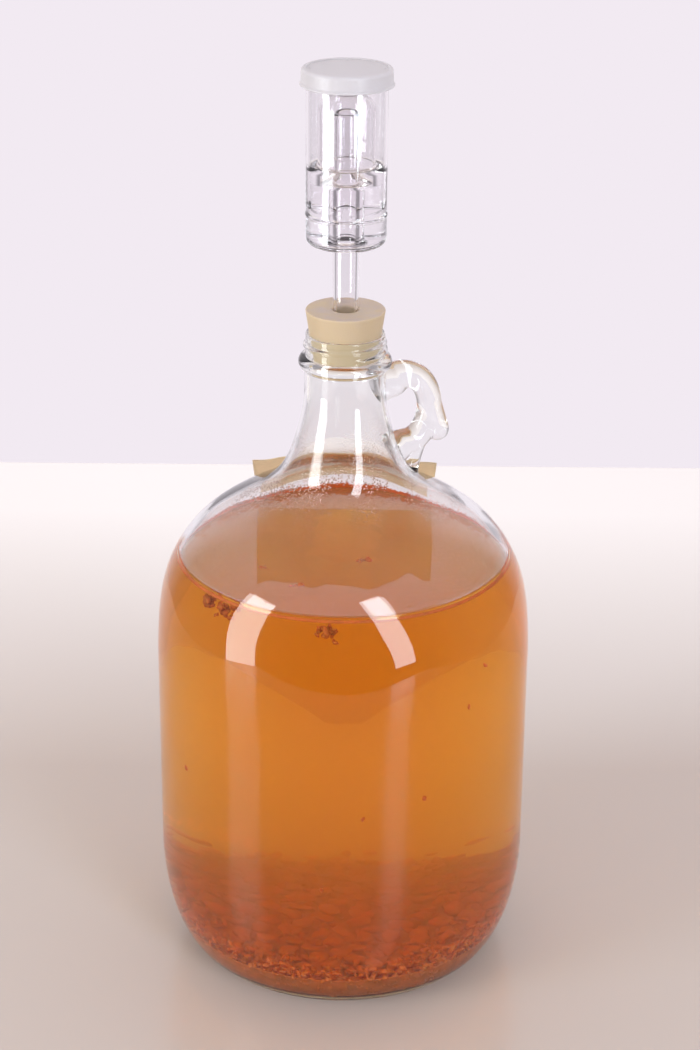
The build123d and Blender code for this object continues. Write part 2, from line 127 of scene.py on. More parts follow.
class JugColours(bpy.types.PropertyGroup):
    """Colours of the finishes."""

    glass: colour("Glass", "Tint of the flint glass", "#FEFFFE")
    rubber: colour("Rubber", "Side of the gum rubber stopper", "#B6A07F")
    rubber_dust: colour("Rubber dust", "Worn and dusty places of the stopper", "#AC9B95")
    polystyrene: colour("Polystyrene", "Tint of the clear airlock", "#FFFEFF")
    polyethylene: colour("Polyethylene", "Milky cap", "#D2CDCE")
    brew: colour("Brew", "What 60 mm of brew lets through", "#FFD66C")
    brew_edge: colour("Brew's edge", "Tint where light enters and leaves the brew", "#FAEAB3")
    pulp: colour("Pulp", "Settled fruit pulp", "#DC7832")
    kraft: colour("Kraft paper", "Plain brown paper", "#E6D2B4")
    table: colour("Table", "Pale table top", "#AFA39B")
    # Painted light: the far table's paler colour stands for the wall's light on it
    table_far: colour("Far table", "The table where the wall's light washes over it", "#DED9D6")
    wall: colour("Backdrop", "Pale wall behind", "#F2EAF2")


def sizes():
    """The jug's sizes and the airlock's."""
    return bpy.context.scene.jug_sizes, bpy.context.scene.airlock_sizes


def colours():
    """The finishes' colours."""
    return bpy.context.scene.jug_colours


# Shapes


def run(first, last, count):
    """Straight points from first to last."""
    return np.linspace(first, last, count)


def arc(centre, radii, first, last, count):
    """Circle or ellipse arc: centre + radii * (cos, sin) of an angle from first to last degrees."""
    turn = np.radians(np.linspace(first, last, count))
    return np.array(centre) + np.broadcast_to(radii, 2) * np.stack([np.cos(turn), np.sin(turn)], 1)


def drawn(start, *steps):
    """Outline from a start, by steps: the end and the count of a straight line, or an arc's values."""
    points = np.array([start], float)
    for step in steps:
        added = arc(*step) if len(step) > 2 else run(points[-1], *step)
        points = np.concatenate([points, added[1:]])
    return points


def arc_through(start, middle, end, count):
    """Circle arc through three points, whose centre is where the chords' bisectors meet."""
    a, b, c = (np.array(p, float) for p in (start, middle, end))
    sides = np.array([b - a, c - a]) * 2
    centre = np.linalg.solve(sides, [b @ b - a @ a, c @ c - a @ a])
    radius = np.linalg.norm(a - centre)
    turns = np.degrees(np.unwrap([math.atan2(*(p - centre)[::-1]) for p in (a, b, c)]))
    return arc(centre, radius, turns[0], turns[2], count)


def smooth_curve(points, first, last, count):
    """Cubic spline by chord length with given end directions, bending evenly through each point.

    The directions m at the points solve h1 m0 + 2 (h0 + h1) m1 + h0 m2 =
    3 (h1 d0 / h0 + h0 d1 / h1) with spans h and steps d, and each span is a Hermite cubic.
    """
    p = np.array(points, float)
    steps = np.diff(p, axis=0)
    h = np.linalg.norm(steps, axis=1)
    n = len(p)
    system = np.eye(n)
    right = np.zeros_like(p)
    right[0], right[-1] = first, last
    inner = np.arange(1, n - 1)
    system[inner, inner - 1] = h[1:]
    system[inner, inner] = 2 * (h[:-1] + h[1:])
    system[inner, inner + 1] = h[:-1]
    slopes = steps / h[:, None]
    right[inner] = 3 * (h[1:, None] * slopes[:-1] + h[:-1, None] * slopes[1:])
    m = np.linalg.solve(system, right)
    at = np.concatenate([[0], np.cumsum(h)])
    s = np.linspace(0, at[-1], count)
    k = np.clip(np.searchsorted(at, s, side="right") - 1, 0, n - 2)
    t = ((s - at[k]) / h[k])[:, None]
    hk = h[k][:, None]
    return (
        (2 * t**3 - 3 * t**2 + 1) * p[k]
        + (t**3 - 2 * t**2 + t) * hk * m[k]
        + (3 * t**2 - 2 * t**3) * p[k + 1]
        + (t**3 - t**2) * hk * m[k + 1]
    )


def shares_along(points):
    """Length of a curve up to each of its points, as a share of the whole."""
    spans = np.linalg.norm(np.diff(points, axis=0), axis=1)
    return np.concatenate([[0], np.cumsum(spans)]) / spans.sum()


def directions(points):
    """Unit direction of a curve at each of its points."""
    along = np.gradient(points, axis=0)
    return along / np.linalg.norm(along, axis=1)[:, None]


def waves(points, size, seed, count=24):
    """Smooth bumps between about -1 and 1: a sum of waves of about one length, turned every way."""
    draw = np.random.default_rng(seed)
    ways = draw.normal(size=(count, 3))
    ways *= TAU / size * draw.uniform(0.6, 1.4, count)[:, None] / np.linalg.norm(ways, axis=1)[:, None]
    phases = draw.uniform(0, TAU, count)
    return np.sin(points @ ways.T + phases).sum(-1) / math.sqrt(count)


def around(away, turn, height):
    """Points at a distance from the upright axis, a turn about it and a height."""
    return np.stack(np.broadcast_arrays(away * np.cos(turn), away * np.sin(turn), height), -1)


def turned(outline, steps=TURN_STEPS):
    """Grid of points: each (radius, height) of the outline carried round the upright axis."""
    return around(outline[:, :1], np.arange(steps) * TAU / steps, outline[:, 1:])


def grid_faces(rows, columns, close_rows=False, close_columns=True):
    """Four-sided faces of a grid of points, row by row."""
    r = np.arange(rows if close_rows else rows - 1)[:, None]
    c = np.arange(columns if close_columns else columns - 1)[None, :]
    up, on = (r + 1) % rows, (c + 1) % columns
    corners = [r * columns + c, r * columns + on, up * columns + on, up * columns + c]
    return np.stack([np.broadcast_to(k, (r.size, c.size)) for k in corners], -1).reshape(-1, 4)


def fill_mesh(mesh, points, faces, smooth=True):
    """Put points and faces, with three or four corners, into a mesh."""
    faces = [f for f in faces if len(f)]
    corner_count = sum(f.size for f in faces)
    starts = np.cumsum([0] + [f.shape[1] for f in faces for _ in range(len(f))])[:-1]
    mesh.vertices.add(len(points))
    mesh.vertices.foreach_set("co", np.asarray(points, np.float32).ravel())
    mesh.loops.add(corner_count)
    mesh.loops.foreach_set("vertex_index", np.concatenate([f.ravel() for f in faces]).astype(np.int32))
    mesh.polygons.add(len(starts))
    mesh.polygons.foreach_set("loop_start", starts.astype(np.int32))
    mesh.update(calc_edges=True)
    mesh.validate()
    mesh.shade_smooth() if smooth else mesh.shade_flat()


def new_object(name, points, faces, smooth=True):
    """An object in the scene with its mesh."""
    mesh = bpy.data.meshes.new(name)
    fill_mesh(mesh, points, faces, smooth)
    piece = bpy.data.objects.new(name, mesh)
    bpy.context.scene.collection.objects.link(piece)
    return piece


def turned_mesh(grid, closed=False):
    """Points and faces of a turned grid; rows that lie on the axis become one point with a fan.

    closed joins the last row to the first, as on a ring or a tube.
    """
    rows, columns = grid.shape[:2]
    if closed:
        return grid.reshape(-1, 3), [grid_faces(rows, columns, True)]
    body = grid[1:-1].reshape(-1, 3)
    first, last = len(body), len(body) + 1
    points = np.concatenate([body, grid[0, :1], grid[-1, :1]])
    here = np.arange(columns)
    on = (here + 1) % columns
    top = (rows - 3) * columns
    fans = np.concatenate(
        [
            np.stack([np.full(columns, first), on, here], 1),
            np.stack([np.full(columns, last), top + here, top + on], 1),
        ]
    )
    return points, [grid_faces(rows - 2, columns), fans]


def mark(piece, name, rows, closed=False):
    """Store a value at each point of a turned mesh, one value for each row of its grid."""
    count = len(piece.data.vertices)
    rows = np.asarray(rows, np.float32)
    columns = count // len(rows) if closed else (count - 2) // (len(rows) - 2)
    values = np.repeat(rows if closed else rows[1:-1], columns)
    if not closed:
        values = np.concatenate([values, rows[[0, -1]]])
    piece.data.attributes.new(name, "FLOAT", "POINT").data.foreach_set("value", values)


def finish_piece(piece, body, node, material):
    """Give a piece its material, its body and the CAD node that it stands for."""
    piece.data.materials.clear()
    piece.data.materials.append(material)
    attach(piece, body)
    if node:
        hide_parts(node)
    return piece


def apply_modifiers(piece):
    """Swap the piece's mesh for the one that its modifiers make."""
    graph = bpy.context.evaluated_depsgraph_get()
    mesh = bpy.data.meshes.new_from_object(piece.evaluated_get(graph))
    old = piece.data
    piece.modifiers.clear()
    piece.data = mesh
    bpy.data.meshes.remove(old)


def combine(piece, other, operation):
    """Join the other closed mesh to the piece, or cut it out, and remove it."""
    cut = piece.modifiers.new("combine", "BOOLEAN")
    cut.operation = operation
    cut.solver = "MANIFOLD"
    cut.object = other
    bpy.context.view_layer.update()
    apply_modifiers(piece)
    bpy.data.objects.remove(other)


# Materials

GLASS_INDEX = 1.52
PLASTIC_INDEX = 1.59
WATER_INDEX = 1.333
BREW_INDEX = 1.345
BREW_PATH = 60 * MM  # depth that the brew's colour is given for
MIST_HEIGHTS = (214 * MM, 226 * MM, 238 * MM, 262 * MM)  # where condensation comes in and fades out


def add_node(tree, kind, inputs=(), output=0, **settings):
    """Add a node and give one of its outputs. Inputs that are sockets are linked, others are set.

    The inputs are a list from the first one on, or are named or numbered.
    """
    node = tree.nodes.new("ShaderNode" + kind)
    for name, value in settings.items():
        setattr(node, name, value)
    for name, value in inputs.items() if isinstance(inputs, dict) else enumerate(inputs):
        if isinstance(value, bpy.types.NodeSocket):
            tree.links.new(value, node.inputs[name])
        else:
            node.inputs[name].default_value = value
    return node.outputs[output] if node.outputs else None


def emptied(owner):
    """Clear the nodes of a material or a world, and give the function that adds new ones."""
    owner.use_nodes = True
    owner.node_tree.nodes.clear()
    return partial(add_node, owner.node_tree)


def material(name):
    """A new material, and the function that adds its nodes."""
    made = bpy.data.materials.new(name)
    return made, emptied(made)


def by_ray(add, usual, others):
    """Nested mix: the usual shader, and another one for each kind of ray that is named."""
    path = add("LightPath").node
    for kind, shader in others.items():
        usual = add("MixShader", [path.outputs[kind], usual, shader])
    return usual


def clear_to_lamps(add, solid, through, **others):
    """Output that is solid to the eye, and lets the light of lamps and of pale surfaces through."""
    way = add("BsdfTransparent", {"Color": through})
    rays = ("Is Volume Scatter Ray", "Is Diffuse Ray", "Is Shadow Ray")
    add("OutputMaterial", {"Surface": by_ray(add, solid, dict.fromkeys(rays, way)), **others})


def clear_body(add, tint, ior, touched, touched_ior, others):
    """A clear solid, whose index is the one against the liquid where a liquid touches it."""
    index = add("MapRange", [touched, 0.0, 1.0, ior, touched_ior])
    inputs = {"Base Color": tint, "Roughness": 0.0, "IOR": index, "Transmission Weight": 1.0}
    body = add("BsdfPrincipled", inputs | others)
    body.node.inputs["IOR"].default_value = ior
    return body


def jug_glass():
    """Flint glass, blown in a mould: clear, with slow waves that bend what is seen through it.

    Its index is the one against the brew on the inner wall below the brew's level. That wall
    is where -(normal . place) across + normal up * (heel's height - height) is above zero.
    """
    size = sizes()[0]
    made, add = material("flint_glass_blown")
    place = add("TexCoord", output="Object")
    slow = add("TexNoise", {"Vector": place, "Scale": 1 / (26 * MM), "Detail": 1.0})
    wavy = add("Bump", {"Height": slow, "Distance": 0.25 * MM})
    facts = add("NewGeometry").node.outputs
    turned_out = add("MapRange", [facts["Backfacing"], 0.0, 1.0, 1.0, -1.0])
    normal = add("VectorMath", {0: facts["True Normal"], "Scale": turned_out}, operation="SCALE")
    flat = add("VectorMath", [place, (1, 1, 0)], operation="MULTIPLY")
    across = add("VectorMath", [flat, normal], "Value", operation="DOT_PRODUCT")
    height = add("SeparateXYZ", [place], "Z")
    normal_up = add("SeparateXYZ", [normal], "Z")
    low = add("MapRange", [add("MapRange", [height, 0.0, 60 * MM]), 0.0, 1.0, 60 * MM, 0.0])
    floor = add("Math", [normal_up, low], operation="MULTIPLY")
    inward = add("Math", [floor, across], operation="SUBTRACT")
    inside = add("Math", [inward, 0.0], operation="GREATER_THAN")
    under = add("Math", [height, size.liquid_level], operation="LESS_THAN")
    touched = add("Math", [inside, under], operation="MULTIPLY")
    # Fine drops of condensation, on the inner wall above the brew only
    drops = add("TexVoronoi", {"Vector": place, "Scale": 1 / (1.0 * MM)})
    share = add("MapRange", [drops, 0.0, 0.42, 1.0, 0.0])
    patches = add("TexNoise", {"Vector": place, "Scale": 1 / (17 * MM), "Detail": 2.0})
    above = add("MapRange", [height, *MIST_HEIGHTS[:2], 0.0, 1.0])
    below = add("MapRange", [height, *MIST_HEIGHTS[2:], 1.0, 0.0])
    for other in (inside, above, below, add("MapRange", [patches, 0.42, 0.6, 0.0, 1.0])):
        share = add("Math", [share, other], operation="MULTIPLY")
    uneven = add("Bump", {"Height": share, "Distance": 0.1 * MM, "Normal": wavy})
    wet_index = GLASS_INDEX / BREW_INDEX
    body = clear_body(add, colours().glass, GLASS_INDEX, touched, wet_index, {"Normal": uneven})
    clear_to_lamps(add, body, (0.93, 0.95, 0.94, 1))
    return made


def airlock_plastic():
    """Clear polystyrene, injection moulded: hard gloss, a higher index than glass, scuffed by handling."""
    made, add = material("clear_polystyrene_moulded")
    place = add("TexCoord", output="Object")
    slow = add("TexNoise", {"Vector": place, "Scale": 1 / (18 * MM), "Detail": 1.0})
    finish = {"Normal": add("Bump", {"Height": slow, "Distance": 0.04 * MM}), "Specular IOR Level": 0.12}
    touched = add("Attribute", output="Fac", attribute_name="touched")
    wet_index = PLASTIC_INDEX / WATER_INDEX
    body = clear_body(add, colours().polystyrene, PLASTIC_INDEX, touched, wet_index, finish)
    clear_to_lamps(add, body, (0.9, 0.9, 0.92, 1))
    return made


def water_material():
    """Water: clear and level. Where it touches a wall, that wall holds the index between them."""
    made, add = material("water")
    free = add("Attribute", output="Fac", attribute_name="free")
    touched = add("MapRange", [free, 0.0, 1.0, 1.0, 0.0])
    body = clear_body(add, (1, 1, 1, 1), WATER_INDEX, touched, 1.0, {})
    clear_to_lamps(add, body, (0.97, 0.98, 0.98, 1))
    return made


def brew_material():
    """Amber fruit brew, hazy with yeast: its colour comes from its depth, and the haze hides what is deep.

    The free surface carries a thin oily film, so it mirrors more than water does.
    """
    made, add = material("amber_brew")
    free = add("Attribute", output="Fac", attribute_name="free")
    touched = add("MapRange", [free, 0.0, 1.0, 1.0, 0.0])
    film = {"Coat IOR": 1.6, "Coat Weight": add("MapRange", [free, 0.0, 1.0, 0.0, 0.6])}
    body = clear_body(add, colours().brew_edge, BREW_INDEX, touched, 1.0, film)
    # Light through depth d keeps exp(-density (1 - colour) d) of itself
    losses = [-math.log(max(c, 1e-4)) / BREW_PATH for c in colours().brew[:3]]
    density = max(losses)
    kept = tuple(1 - loss / density for loss in losses) + (1.0,)
    absorb = add("VolumeAbsorption", {"Color": kept, "Density": density})
    haze = add("VolumeScatter", {"Color": (1, 1, 1, 1), "Density": 9.0, "Anisotropy": 0.82})
    clear_to_lamps(add, body, (0.98, 0.98, 0.98, 1), Volume=add("AddShader", [absorb, haze]))
    return made


def rubber_material():
    """Natural gum rubber, pressed in a mould: matt, finely grained, dusty where it is handled."""
    made, add = material("gum_rubber_moulded")
    place = add("TexCoord", output="Object")
    dust = add("TexNoise", {"Vector": place, "Scale": 1 / (7 * MM), "Detail": 6.0})
    grain = add("TexNoise", {"Vector": place, "Scale": 1 / (0.7 * MM), "Detail": 3.0})
    upward = add("SeparateXYZ", [add("NewGeometry", output="Normal")], "Z")
    patches = add("MapRange", [dust, 0.35, 0.65, 0.1, 0.75])
    top_only = add("MapRange", [upward, 0.3, 0.9, 0.15, 1.0])
    share = add("Math", [patches, top_only], operation="MULTIPLY")
    paint = add("Mix", {0: share, 6: colours().rubber, 7: colours().rubber_dust}, 2, data_type="RGBA")
    inputs = {
        "Base Color": paint,
        "Roughness": 0.62,
        "IOR": 1.52,
        "Subsurface Weight": 0.15,
        "Subsurface Radius": (1.0, 0.6, 0.3),
        "Subsurface Scale": 1.5 * MM,
        "Normal": add("Bump", {"Height": grain, "Distance": 0.06 * MM}),
    }
    add("OutputMaterial", {"Surface": add("BsdfPrincipled", inputs)})
    return made


def cap_material():
    """Low-density polyethylene, injection moulded: milky, waxy, and it lets some light through."""
    made, add = material("milky_polyethylene_moulded")
    place = add("TexCoord", output="Object")
    grain = add("TexNoise", {"Vector": place, "Scale": 1 / (2.5 * MM), "Detail": 4.0})
    inputs = {
        "Base Color": colours().polyethylene,
        "Roughness": 0.38,
        "IOR": 1.51,
        "Subsurface Weight": 0.5,
        "Subsurface Radius": (1.0, 0.95, 0.9),
        "Subsurface Scale": 2.0 * MM,
        "Transmission Weight": 0.25,
        "Normal": add("Bump", {"Height": grain, "Distance": 0.05 * MM}),
    }
    add("OutputMaterial", {"Surface": add("BsdfPrincipled", inputs)})
    return made


def pulp_material():
    """Soaked fruit pulp: soft, wet and pale, darker in random patches."""
    made, add = material("soaked_fruit_pulp")
    place = add("TexCoord", output="Object")
    patches = add("TexNoise", {"Vector": place, "Scale": 1 / (6 * MM), "Detail": 5.0})
    darker = tuple(c * 0.72 for c in colours().pulp[:3]) + (1.0,)
    share = add("MapRange", [patches, 0.4, 0.7, 0.0, 0.8])
    paint = add("Mix", {0: share, 6: colours().pulp, 7: darker}, 2, data_type="RGBA")
    grain = add("TexNoise", {"Vector": place, "Scale": 1 / (1.2 * MM), "Detail": 3.0})
    inputs = {
        "Base Color": paint,
        "Roughness": 0.5,
        "Subsurface Weight": 0.3,
        "Subsurface Radius": (1.0, 0.5, 0.25),
        "Subsurface Scale": 2.0 * MM,
        "Normal": add("Bump", {"Height": grain, "Distance": 0.25 * MM}),
    }
    through = add("BsdfTranslucent", {"Color": paint})
    add("OutputMaterial", {"Surface": add("MixShader", [0.5, add("BsdfPrincipled", inputs), through])})
    return made


def kraft_material():
    """Kraft paper, rolled from pulp: matt and brown, with fine fibres that lie one way."""
    made, add = material("kraft_paper_rolled")
    place = add("TexCoord", output="Object")
    stretched = add("Mapping", {"Vector": place, "Scale": (1.0, 1.0, 5.0)})
    fibres = add("TexNoise", {"Vector": stretched, "Scale": 1 / (2.2 * MM), "Detail": 6.0})
    patches = add("TexNoise", {"Vector": place, "Scale": 1 / (18 * MM), "Detail": 3.0})
    both = add("Math", [fibres, patches], operation="MULTIPLY")
    share = add("MapRange", [both, 0.15, 0.4, 0.0, 0.7])
    darker = tuple(c * 0.7 for c in colours().kraft[:3]) + (1.0,)
    paint = add("Mix", {0: share, 6: colours().kraft, 7: darker}, 2, data_type="RGBA")
    bump = add("Bump", {"Height": fibres, "Distance": 0.05 * MM})
    body = add("BsdfPrincipled", {"Base Color": paint, "Roughness": 0.85, "Normal": bump})
    # Light crosses both faces of the sheet, so each face takes the root of the paper's colour
    through = add("BsdfTranslucent", {"Color": add("Gamma", {"Color": paint, "Gamma": 0.5})})
    add("OutputMaterial", {"Surface": add("MixShader", [0.55, body, through])})
    return made


# The jug's outlines


def shoulder_curve(size, count):
    """Outer shoulder from the body's top to the neck, as (radius, height)."""
    neck = size.neck_diameter / 2
    width = size.jug_diameter / 2 - neck
    rise = size.jug_height - NECK_DROP - size.shoulder_height
    places = [
        (neck + width * across, size.shoulder_height + rise * up)
        for across, up in zip(SHOULDER_RADIUS_SHARES, SHOULDER_HEIGHT_SHARES)
    ]
    return smooth_curve(places, (0, 1), (0, 1), count)


NECK_DROP = 24.5 * MM  # from the lip down to where the neck turns straight
BEAD_DROP = 13.0 * MM
BEAD_DEPTH = 6.2 * MM
BEARING_WIDTH = 6.5 * MM
PUNT_DEPTH = 2.5 * MM
WALL_WAVE = 0.18 * MM  # unevenness of the inner wall
WET = 0.12 * MM  # by which a liquid reaches into the wall that it wets


def outer_outline(size):
    """Jug's outside from the middle of its base to its lip: punt, heel, body, shoulder, neck and bead."""
    body = size.jug_diameter / 2
    base = body - size.heel_width
    neck = size.neck_diameter / 2
    finish = size.finish_diameter / 2
    punt = base - BEARING_WIDTH
    bead = size.jug_height - BEAD_DROP
    across = np.linspace(0, punt, 14)
    lip = (finish - size.mouth_diameter / 2) / 2
    bead_bottom, bead_top = (neck, bead - BEAD_DEPTH / 2), (finish, bead + BEAD_DEPTH / 2)
    foot = drawn(
        (punt, 0),
        ((base, 0), 4),
        ((base, size.heel_height), (size.heel_width, size.heel_height), -90, 0, 44),
        ((body, size.shoulder_height), 16),
    )
    neck_end = run((neck, size.jug_height - NECK_DROP), bead_bottom, 8)
    bulge = arc_through(bead_bottom, (size.bead_diameter / 2, bead), bead_top, 20)
    mouth = drawn(
        bead_top,
        ((finish, size.jug_height - lip), 40),
        ((finish - lip, size.jug_height - lip), lip, 0, 180, 14),
    )
    parts = [foot, shoulder_curve(size, 100), neck_end, bulge, mouth]
    hollow = np.stack([across, PUNT_DEPTH * (1 - (across / punt) ** 2)], 1)
    return np.concatenate([hollow] + [part[1:] for part in parts])


def inner_outline(size, inset, count=90):
    """Jug's inside from the neck down to the middle of its floor, drawn smaller by an inset.

    The wall is set off from the outer shoulder, and thins from the body to the neck.
    """
    outer = shoulder_curve(size, count)
    off = size.glass_wall + (size.neck_wall - size.glass_wall) * shares_along(outer) + inset
    along = directions(outer)
    wall = np.stack([outer[:, 0] - along[:, 1] * off, outer[:, 1] + along[:, 0] * off], 1)
    wall_radius = wall[0, 0]
    inner_base = size.jug_diameter / 2 - size.heel_width - size.glass_wall / 2
    floor = size.floor_wall + inset
    below = drawn(
        (wall_radius, size.shoulder_height),
        ((wall_radius, size.heel_height), 16),
        ((inner_base, size.heel_height), (wall_radius - inner_base, size.heel_height - floor), 0, -90, 36),
        ((0, floor), 14),
    )
    return np.concatenate([wall[::-1], below[1:]])


def uneven_wall(grid):
    """Move the points of an inner wall out or in by slow waves, as blown glass is uneven inside."""
    flat = grid.reshape(-1, 3)
    away = flat[:, :2]
    radius = np.linalg.norm(away, axis=1)
    wall = np.clip(radius / (12 * MM) - 0.5, 0, 1)
    moved = away * (1 + (waves(flat, 55 * MM, 3) * WALL_WAVE * wall / np.maximum(radius, MM)))[:, None]
    return np.concatenate([moved, flat[:, 2:]], 1).reshape(grid.shape)


THREAD_HEIGHT = 1.1 * MM
THREAD_PITCH = 4.2 * MM
THREAD_DROP = 8.4 * MM
THREAD_WIDTH = 2.4 * MM
THREAD_TURNS = 1.25
THREAD_FADE = 0.35  # radians over which each end runs out
THREAD_START = math.radians(-80)  # its two ends run out at the front


def threaded(grid, size):
    """Raise a screw thread on the finish: a rounded ridge that climbs one pitch in each turn."""
    turn = np.arctan2(grid[..., 1], grid[..., 0])
    radius = np.linalg.norm(grid[..., :2], axis=-1)
    height = grid[..., 2]
    swell = np.zeros_like(radius)
    for lap in range(2):
        way = ((turn - THREAD_START) % TAU) + lap * TAU
        centre = size.jug_height - THREAD_DROP + THREAD_PITCH * way / TAU
        fade = np.clip(way / THREAD_FADE, 0, 1) * np.clip((THREAD_TURNS * TAU - way) / THREAD_FADE, 0, 1)
        ridge = np.exp(-((np.abs(height - centre) / (THREAD_WIDTH / 2.6)) ** 3))
        swell = np.maximum(swell, THREAD_HEIGHT * fade * ridge)
    outside = radius > size.finish_diameter / 2 - 0.05 * MM
    above_bead = height > size.jug_height - BEAD_DROP + BEAD_DEPTH / 2
    grow = np.where(outside & above_bead, swell, 0)
    grid[..., :2] *= (1 + grow / np.maximum(radius, MM))[..., None]
    return grid


# Finger ring: a round bar along an ellipse in an upright plane beside the neck
RING_TURN = math.radians(22)  # of that plane, from the right towards the back
RING_BAR = 5.6 * MM
RING_REACH = 28.1 * MM
RING_DROP = 39.0 * MM
RING_HALF_WIDTH = 12.2 * MM
RING_HALF_HEIGHT = 16.2 * MM
RING_ENDS = (-88, 118)  # degrees on the ellipse
TOP_ROOT = (12.5 * MM, 25.5 * MM)  # out from the axis and down from the lip
FOOT_ROOT = (14.0 * MM, 61.0 * MM)
ROOT_SWELL = 3.2 * MM
ROOT_LENGTH = 13 * MM
RING_GRAIN = 0.5 * MM  # mesh that rounds the joints
LUG_ROOT_SHARES = (0.98, 0.1)  # of the ellipse's half width and half height
LUG_REACH = 44.4 * MM
LUG_DROP = 50.6 * MM
LUG_RADIUS = 5.4 * MM
STRUT_RADIUS = 4.8 * MM
STRUT_SWELL = 1.5 * MM
STRUT_ROOT = math.radians(-55)  # on the ring's ellipse
STRUT_LEAN = math.radians(20)  # from upright, inwards
STRUT_LENGTH = 17.5 * MM


def bar_grid(path, radii, steps=40):
    """Carry a circle along a path in the ring's plane: path + radius (cos * side + sin * outward)."""
    along = directions(path)
    side = np.array([0.0, 1.0, 0.0])
    outward = np.stack([along[:, 2], np.zeros(len(path)), -along[:, 0]], 1)
    turn = np.arange(steps) * TAU / steps
    ring = np.cos(turn)[None, :, None] * side + np.sin(turn)[None, :, None] * outward[:, None, :]
    return path[:, None, :] + ring * radii[:, None, None]


def capped(grid):
    """Close both ends of a bar with a point in the middle of its end circle."""
    ends = grid[[0, -1]].mean(1)
    first = np.broadcast_to(ends[0], (1,) + grid.shape[1:])
    last = np.broadcast_to(ends[1], (1,) + grid.shape[1:])
    return np.concatenate([first, grid, last])


def ring_bar(size, centre):
    """The ring's bar, along its ellipse and on into the neck, where it swells as exp(-distance squared)."""
    turn = np.radians(np.linspace(*RING_ENDS, 70))
    ellipse = np.stack([RING_HALF_WIDTH * np.cos(turn), 0 * turn, RING_HALF_HEIGHT * np.sin(turn)], 1)
    loop = centre + ellipse
    top, foot = (np.array([out, 0, size.jug_height - drop]) for out, drop in (TOP_ROOT, FOOT_ROOT))
    tail = np.linspace(0, 1, 14)[1:, None]
    path = np.concatenate([(foot + (loop[0] - foot) * tail)[:-1], loop, loop[-1] + (top - loop[-1]) * tail])
    path = smooth_curve(path[::3], path[1] - path[0], path[-1] - path[-2], 120)
    gap = np.minimum(*(np.linalg.norm(path - path[end], axis=1) for end in (0, -1)))
    return bar_grid(path, RING_BAR + ROOT_SWELL * np.exp(-((gap / ROOT_LENGTH) ** 2)))


def lug_bar(size, centre):
    """The thumb lug: a straight bar out of the ring with a round end."""
    across, up = LUG_ROOT_SHARES
    root = centre + np.array([RING_HALF_WIDTH * across, 0, RING_HALF_HEIGHT * up])
    path = np.linspace(root, [LUG_REACH, 0, size.jug_height - LUG_DROP], 20)
    radii = RING_BAR + (LUG_RADIUS - RING_BAR) * np.linspace(0, 1, 20)
    tip = np.radians(np.linspace(0, 85, 12))[1:]
    end = path[-1] + np.sin(tip)[:, None] * LUG_RADIUS * directions(path)[-1]
    return bar_grid(np.concatenate([path, end]), np.concatenate([radii, LUG_RADIUS * np.cos(tip)]))


def strut_bar(centre):
    """The strut: straight down and inwards from the ring, and wider towards its foot."""
    reach = np.linspace(0, 1, 20)[:, None]
    root = np.array([RING_HALF_WIDTH * math.cos(STRUT_ROOT), 0, RING_HALF_HEIGHT * math.sin(STRUT_ROOT)])
    way = np.array([-math.sin(STRUT_LEAN), 0, -math.cos(STRUT_LEAN)])
    path = centre + root + way * STRUT_LENGTH * reach
    return bar_grid(path, STRUT_RADIUS + STRUT_SWELL * reach[:, 0] ** 4)


def ring_mesh(size):
    """The finger ring, its thumb lug and its strut in one form with rounded joints."""
    centre = np.array([RING_REACH, 0, size.jug_height - RING_DROP])
    ring = new_object("ring", *turned_mesh(capped(ring_bar(size, centre))))
    for bar in (lug_bar(size, centre), strut_bar(centre)):
        combine(ring, new_object("bar", *turned_mesh(capped(bar))), "UNION")
    remesh = ring.modifiers.new("remesh", "REMESH")
    remesh.mode = "VOXEL"
    remesh.voxel_size = RING_GRAIN
    relax = ring.modifiers.new("relax", "SMOOTH")
    relax.factor = 0.5
    relax.iterations = 14
    bpy.context.view_layer.update()
    apply_modifiers(ring)
    points = np.empty(len(ring.data.vertices) * 3)
    ring.data.vertices.foreach_get("co", points)
    c, s = math.cos(RING_TURN), math.sin(RING_TURN)
    placed = points.reshape(-1, 3) @ np.array([[c, s, 0], [-s, c, 0], [0, 0, 1]])
    # No point comes nearer to the axis than the middle of the neck's wall
    outer = shoulder_curve(size, 100)
    wall = np.interp(placed[:, 2], outer[:, 1], outer[:, 0]) - size.neck_wall / 2
    radius = np.linalg.norm(placed[:, :2], axis=1)
    placed[:, :2] *= (np.maximum(radius, wall) / np.maximum(radius, MM))[:, None]
    ring.data.vertices.foreach_set("co", placed.ravel())
    ring.data.update()
    return ring


class JUG_OT_glass_jug(bpy.types.Operator):
    """Glass jug: its outlines turned round the axis, with the thread raised and the ring joined on."""

    bl_idname = "jug.glass_jug"
    bl_label = "Glass jug"

    def execute(self, context):
        size = sizes()[0]
        outer = threaded(turned(outer_outline(size)), size)
        inner = uneven_wall(turned(inner_outline(size, 0)))
        piece = new_object("jug_glass", *turned_mesh(np.concatenate([outer, inner])))
        combine(piece, ring_mesh(size), "UNION")
        piece.data.shade_smooth()
        finish_piece(piece, "jug", "glass_jug", jug_glass())
        return {"FINISHED"}


# Brew


def cavity_radius(size, height, inset):
    """Radius of the jug's inside at a height, read from its outline."""
    outline = inner_outline(size, inset)[::-1]
    return np.interp(height, outline[:, 1], outline[:, 0])


